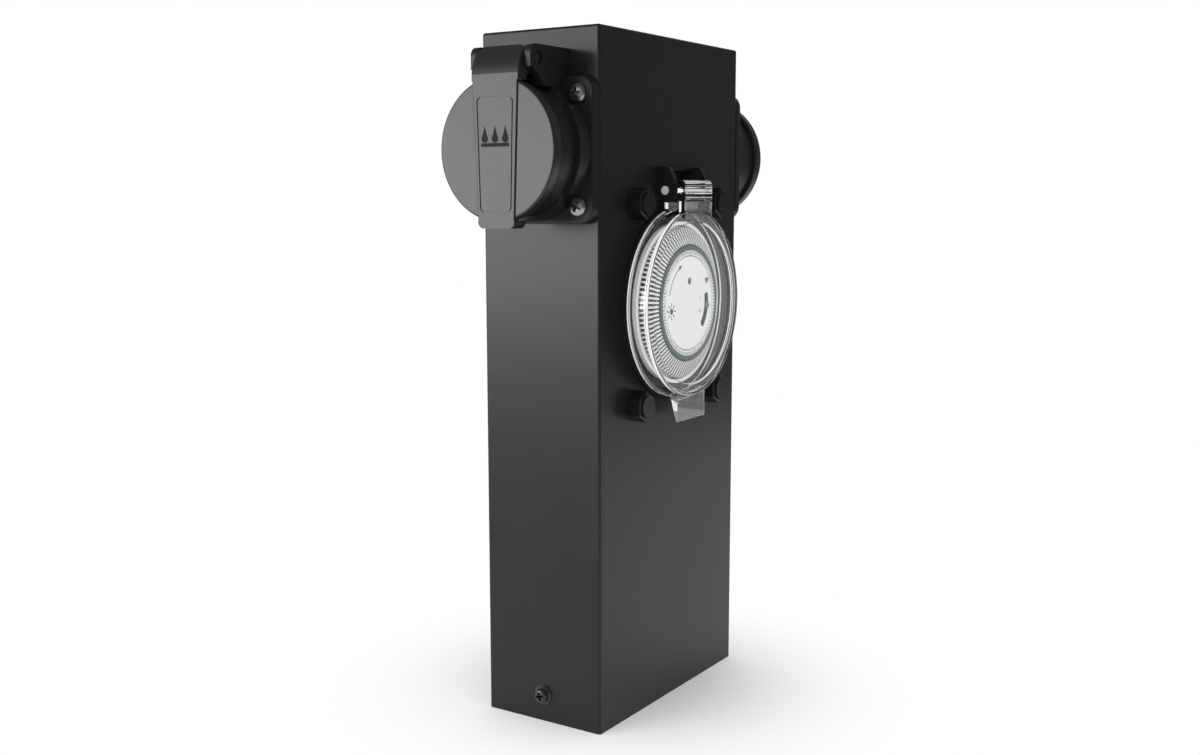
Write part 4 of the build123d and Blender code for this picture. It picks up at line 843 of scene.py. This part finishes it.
for side, sign in side_signs.items():
    drawing = bmesh.new()
    for step in (-1, 0, 1):
        add_drop(drawing, step * DROP_SPACING, DROP_UP)
    add_bar(drawing, BAR_WIDTH, BAR_HEIGHT, (0, BAR_UP))
    strap = facing((sign * (POST_SIDE + STRAP_FRONT), 0, SOCKET_UP), (sign, 0, 0))
    name, body = side + "_splash_sign", side + "_lid"
    make_print(name, drawing, strap, "print_on_lid", body)

# %% [markdown]
# The hour ring carries small numerals from 1 to 24, clockwise. Blender's own font draws them:
# each is a text curve that is turned into a mesh and then laid against the ring. They ride on
# the dial, so they go round with it.

# %% The hour numerals
HOURS = 24
RING_FRONT = 6.8 * MM
NUMERAL_RADIUS = 18.3 * MM
NUMERAL_SIZE = 1.05 * MM


def numeral_mesh(text):
    """A mesh of a short text in the XY plane, as thick as the print."""
    curve = bpy.data.curves.new("numeral", "FONT")
    curve.body = text
    curve.size = NUMERAL_SIZE
    curve.align_x = "CENTER"
    curve.align_y = "CENTER"
    curve.extrude = PRINT_HEIGHT / 2
    curve.resolution_u = 3
    words = bpy.data.objects.new("numeral", curve)
    bpy.context.scene.collection.objects.link(words)
    graph = bpy.context.evaluated_depsgraph_get()
    mesh = bpy.data.meshes.new_from_object(words.evaluated_get(graph))
    bpy.data.objects.remove(words)
    return mesh


numerals = bmesh.new()
ring = facing(DIAL_CENTRE - Vector((0, RING_FRONT + PRINT_HEIGHT / 2, 0)), (0, -1, 0))
for hour in range(1, HOURS + 1):
    clockwise = -2 * math.pi * hour / HOURS
    place = ring @ Matrix.Rotation(clockwise, 4, "Z") @ Matrix.Translation((0, NUMERAL_RADIUS, 0))
    add_turned(numerals, place, numeral_mesh(str(hour)))
make_piece("hour_numerals", numerals, "print_red", "dial")
print("numerals at radius", NUMERAL_RADIUS)

# %% [markdown]
# The still plate in the middle is printed too: a curved arrow that shows which way the dial
# turns, a triangle that points at the present time, a sun, and two small marks beside the
# switch. Each is a flat bmesh drawing: the arrow's tail is an edge spun round the centre, its
# head and the triangle are three-sided circles, and the sun is a disc with eight bars. A dark
# disc at the bottom of the plate's small pip makes its shade. Places are from the dial's centre.

# %% The print on the middle plate, and the painted shade in its pip
PLATE_FRONT = 6.9 * MM
PIP_RADIUS = 1.38 * MM
PIP_DEPTH = 0.55 * MM
PIP_PLACE = Vector((0, 8.2, 0)) * MM
ARROW_RADIUS = 15.3 * MM
ARROW_WIDTH = 0.36 * MM
ARROW_FROM, ARROW_TO = math.radians(166), math.radians(118)
ARROW_HEAD, ARROW_SLIM = 1.6 * MM, 0.6
SUN_DISC, RAY_PLACE, RAY_LENGTH, RAY_WIDTH = 0.36, 0.75, 0.42, 0.14
NOW_PLACE, NOW_RADIUS, NOW_TURN, NOW_SLIM = (13.0 * MM, 8.0 * MM), 1.8 * MM, math.radians(32), 0.85
SUN_PLACE, SUN_RADIUS = (-13.4 * MM, -2.3 * MM), 3.1 * MM
DASH_PLACE, DASH_SIZE = (-16.4 * MM, -1.9 * MM), (1.0 * MM, 0.25 * MM)
ON_PLACE, ON_SIZE = (8.3 * MM, 1.6 * MM), (0.3 * MM, 1.5 * MM)
AUTO_PLACE, AUTO_RADIUS = (7.9 * MM, -3.4 * MM), 1.0 * MM


def add_triangle(shape, middle, radius, turn, width=1.0):
    """A triangle whose tip points along a turn from +X."""
    corners = bmesh.ops.create_circle(shape, cap_ends=True, radius=radius, segments=3)["verts"]
    turn_corners(shape, corners, -math.pi / 2)
    bmesh.ops.scale(shape, verts=corners, vec=(1, width, 1))
    turn_corners(shape, corners, turn)
    bmesh.ops.translate(shape, verts=corners, vec=(*middle, 0))


def on_circle(radius, turn):
    """A point of the XY plane from its distance and its turn."""
    return radius * math.cos(turn), radius * math.sin(turn)


def add_arrow(shape):
    """The curved arrow: a spun tail with a triangle at its end."""
    radii = (ARROW_RADIUS - ARROW_WIDTH / 2, ARROW_RADIUS + ARROW_WIDTH / 2)
    start = [shape.verts.new((*on_circle(radius, ARROW_FROM), 0)) for radius in radii]
    bmesh.ops.spin(
        shape,
        geom=[*start, shape.edges.new(start)],
        cent=(0, 0, 0),
        axis=(0, 0, 1),
        angle=ARROW_TO - ARROW_FROM,
        steps=16,
    )
    end = on_circle(ARROW_RADIUS, ARROW_TO)
    add_triangle(shape, end, ARROW_HEAD, ARROW_TO - math.pi / 2, ARROW_SLIM)


def add_sun(shape, middle, radius):
    """A sun: a disc with eight rays."""
    disc = bmesh.ops.create_circle(shape, cap_ends=True, radius=SUN_DISC * radius, segments=20)
    bmesh.ops.translate(shape, verts=disc["verts"], vec=(*middle, 0))
    for ray in range(8):
        bar = add_bar(shape, RAY_LENGTH * radius, RAY_WIDTH * radius, (RAY_PLACE * radius, 0))
        turn_corners(shape, bar, ray * math.pi / 4)
        bmesh.ops.translate(shape, verts=bar, vec=(*middle, 0))


plate = facing(DIAL_CENTRE - Vector((0, PLATE_FRONT, 0)), (0, -1, 0))
drawing = bmesh.new()
add_arrow(drawing)
add_triangle(drawing, NOW_PLACE, NOW_RADIUS, NOW_TURN, NOW_SLIM)
add_sun(drawing, SUN_PLACE, SUN_RADIUS)
add_bar(drawing, *DASH_SIZE, DASH_PLACE)
make_print("plate_print", drawing, plate, "print_dark", "post")
drawing = bmesh.new()
add_bar(drawing, *ON_SIZE, ON_PLACE)
add_sun(drawing, AUTO_PLACE, AUTO_RADIUS)
make_print("switch_marks", drawing, plate, "print_red", "post")
# The pip's dark disc is painted shade, not print: a dark sheet at the bottom of the pip's hollow,
# where shade falls.
drawing = bmesh.new()
bmesh.ops.create_circle(drawing, cap_ends=True, radius=PIP_RADIUS, segments=32)
pip_floor = facing(DIAL_CENTRE - Vector((0, PLATE_FRONT - PIP_DEPTH, 0)), (0, -1, 0))
pip = pip_floor @ Matrix.Translation(PIP_PLACE)
make_print("pip_shade", drawing, pip, "print_dark", "post")

# %% [markdown]
# The studio is a white floor and a white world. The camera and clear plastic see both as plain
# white, and all other light gets the same plain level. What shines sees a studio instead:
# white behind the post, but dark overhead and on the side that the timer looks to, because a
# black shape with white all round it would look grey. The floor ends beyond the post's own
# mirror image, where the world is as white to the camera as the floor is.

# %% The world and the floor
GLOW = 1.0
DARK_SIDE = 0.12
FLOOR_HALF = 0.62
SHADOW_REACH = 0.12
SHADOW_START = 0.02
# where the studio goes from dark to white, along Y and along Z of a ray's direction
BEHIND = {"From Min": -0.3, "From Max": 0.3}
BELOW = {"From Min": 0.6, "From Max": 0.25}


def seen_plain(tree):
    """1 for rays from the camera or through clear plastic, 0 for other light, and all rays."""
    rays = add_node(tree, "ShaderNodeLightPath")
    seen = (rays.outputs[name] for name in ("Is Camera Ray", "Is Transmission Ray"))
    return maths(tree, "MAXIMUM", *seen), rays


def build_world():
    """Plain white where it is seen, plain light, and a studio where it is mirrored."""
    world = bpy.data.worlds.new("white_studio")
    world.use_nodes = True
    tree = world.node_tree
    background = tree.nodes["Background"]
    background.inputs["Color"].default_value = (1.0, 1.0, 1.0, 1.0)
    place = add_node(tree, "ShaderNodeTexCoord")
    parts = add_node(tree, "ShaderNodeSeparateXYZ")
    tree.links.new(place.outputs["Generated"], parts.inputs[0])
    behind = add_node(tree, "ShaderNodeMapRange", BEHIND)
    below = add_node(tree, "ShaderNodeMapRange", BELOW)
    for ramp, axis in ((behind, "Y"), (below, "Z")):
        ramp.interpolation_type = "SMOOTHSTEP"
        tree.links.new(parts.outputs[axis], ramp.inputs["Value"])
    lit = maths(tree, "MULTIPLY", behind.outputs["Result"], below.outputs["Result"])
    studio = add_node(tree, "ShaderNodeMapRange", {"To Min": DARK_SIDE, "To Max": 1.0})
    tree.links.new(lit, studio.inputs["Value"])
    plain, rays = seen_plain(tree)
    mirrored = add_node(tree, "ShaderNodeMapRange", {"To Min": GLOW})
    tree.links.new(rays.outputs["Is Glossy Ray"], mirrored.inputs["Value"])
    tree.links.new(studio.outputs["Result"], mirrored.inputs["To Max"])
    strength = add_node(tree, "ShaderNodeMapRange", {"To Max": 1.0})
    tree.links.new(plain, strength.inputs["Value"])
    tree.links.new(mirrored.outputs["Result"], strength.inputs["To Min"])
    tree.links.new(strength.outputs["Result"], background.inputs["Strength"])
    bpy.context.scene.world = world


def build_floor():
    """A pale floor that turns plain white away from the post."""
    mesh = bpy.data.meshes.new("floor")
    sheet = bmesh.new()
    bmesh.ops.create_grid(sheet, x_segments=1, y_segments=1, size=FLOOR_HALF)
    sheet.to_mesh(mesh)
    sheet.free()
    floor = bpy.data.objects.new("floor", mesh)
    bpy.context.scene.collection.objects.link(floor)
    material, tree, shader = start_material("floor_white", (0.88, 0.88, 0.88), 0.9, specular=0.0)
    place = add_node(tree, "ShaderNodeTexCoord")
    reach = add_node(tree, "ShaderNodeVectorMath", operation="LENGTH")
    tree.links.new(place.outputs["Object"], reach.inputs[0])
    shadow = {"From Min": SHADOW_START, "From Max": SHADOW_REACH}
    fade = add_node(tree, "ShaderNodeMapRange", shadow)
    fade.interpolation_type = "SMOOTHSTEP"
    tree.links.new(reach.outputs["Value"], fade.inputs["Value"])
    white = add_node(tree, "ShaderNodeEmission", {"Strength": 1.0})
    choice = add_node(tree, "ShaderNodeMixShader")
    plain, rays = seen_plain(tree)
    seen = maths(tree, "MAXIMUM", plain, rays.outputs["Is Glossy Ray"])
    tree.links.new(maths(tree, "MULTIPLY", seen, fade.outputs["Result"]), choice.inputs[0])
    tree.links.new(shader.outputs[0], choice.inputs[1])
    tree.links.new(white.outputs[0], choice.inputs[2])
    tree.links.new(choice.outputs[0], tree.nodes["Material Output"].inputs["Surface"])
    mesh.materials.append(material)


build_world()
build_floor()
print("studio glow", GLOW)

# %% [markdown]
# One softbox stands to the left, just behind the post, where the narrow side and the lid mirror
# it towards the camera. It makes them bright at the top, and because it ends near the floor
# they darken towards the foot. A lamp straight overhead would grey the tops, which are black.

# %% The softbox
SOFTBOX_PLACE = Vector((-0.62, 0.41, 0.215))
SOFTBOX_TARGET = Vector((-0.06, 0.0, 0.2))
SOFTBOX_WIDTH = 0.45
SOFTBOX_HEIGHT = 0.27
SOFTBOX_POWER = 2.4
softbox_light = bpy.data.lights.new("softbox", "AREA")
softbox_light.shape = "RECTANGLE"
softbox_light.size = SOFTBOX_WIDTH
softbox_light.size_y = SOFTBOX_HEIGHT
softbox_light.energy = SOFTBOX_POWER
softbox = bpy.data.objects.new("softbox", softbox_light)
softbox.location = SOFTBOX_PLACE
reach = SOFTBOX_TARGET - SOFTBOX_PLACE
softbox.rotation_euler = reach.to_track_quat("-Z", "Y").to_euler()
bpy.context.scene.collection.objects.link(softbox)
print("softbox", SOFTBOX_WIDTH, "m wide,", round(reach.length, 3), "m away")

# %% [markdown]
# A plain view transform shows each colour as it is written.

# %% Finish
bpy.context.scene.view_settings.view_transform = "Standard"
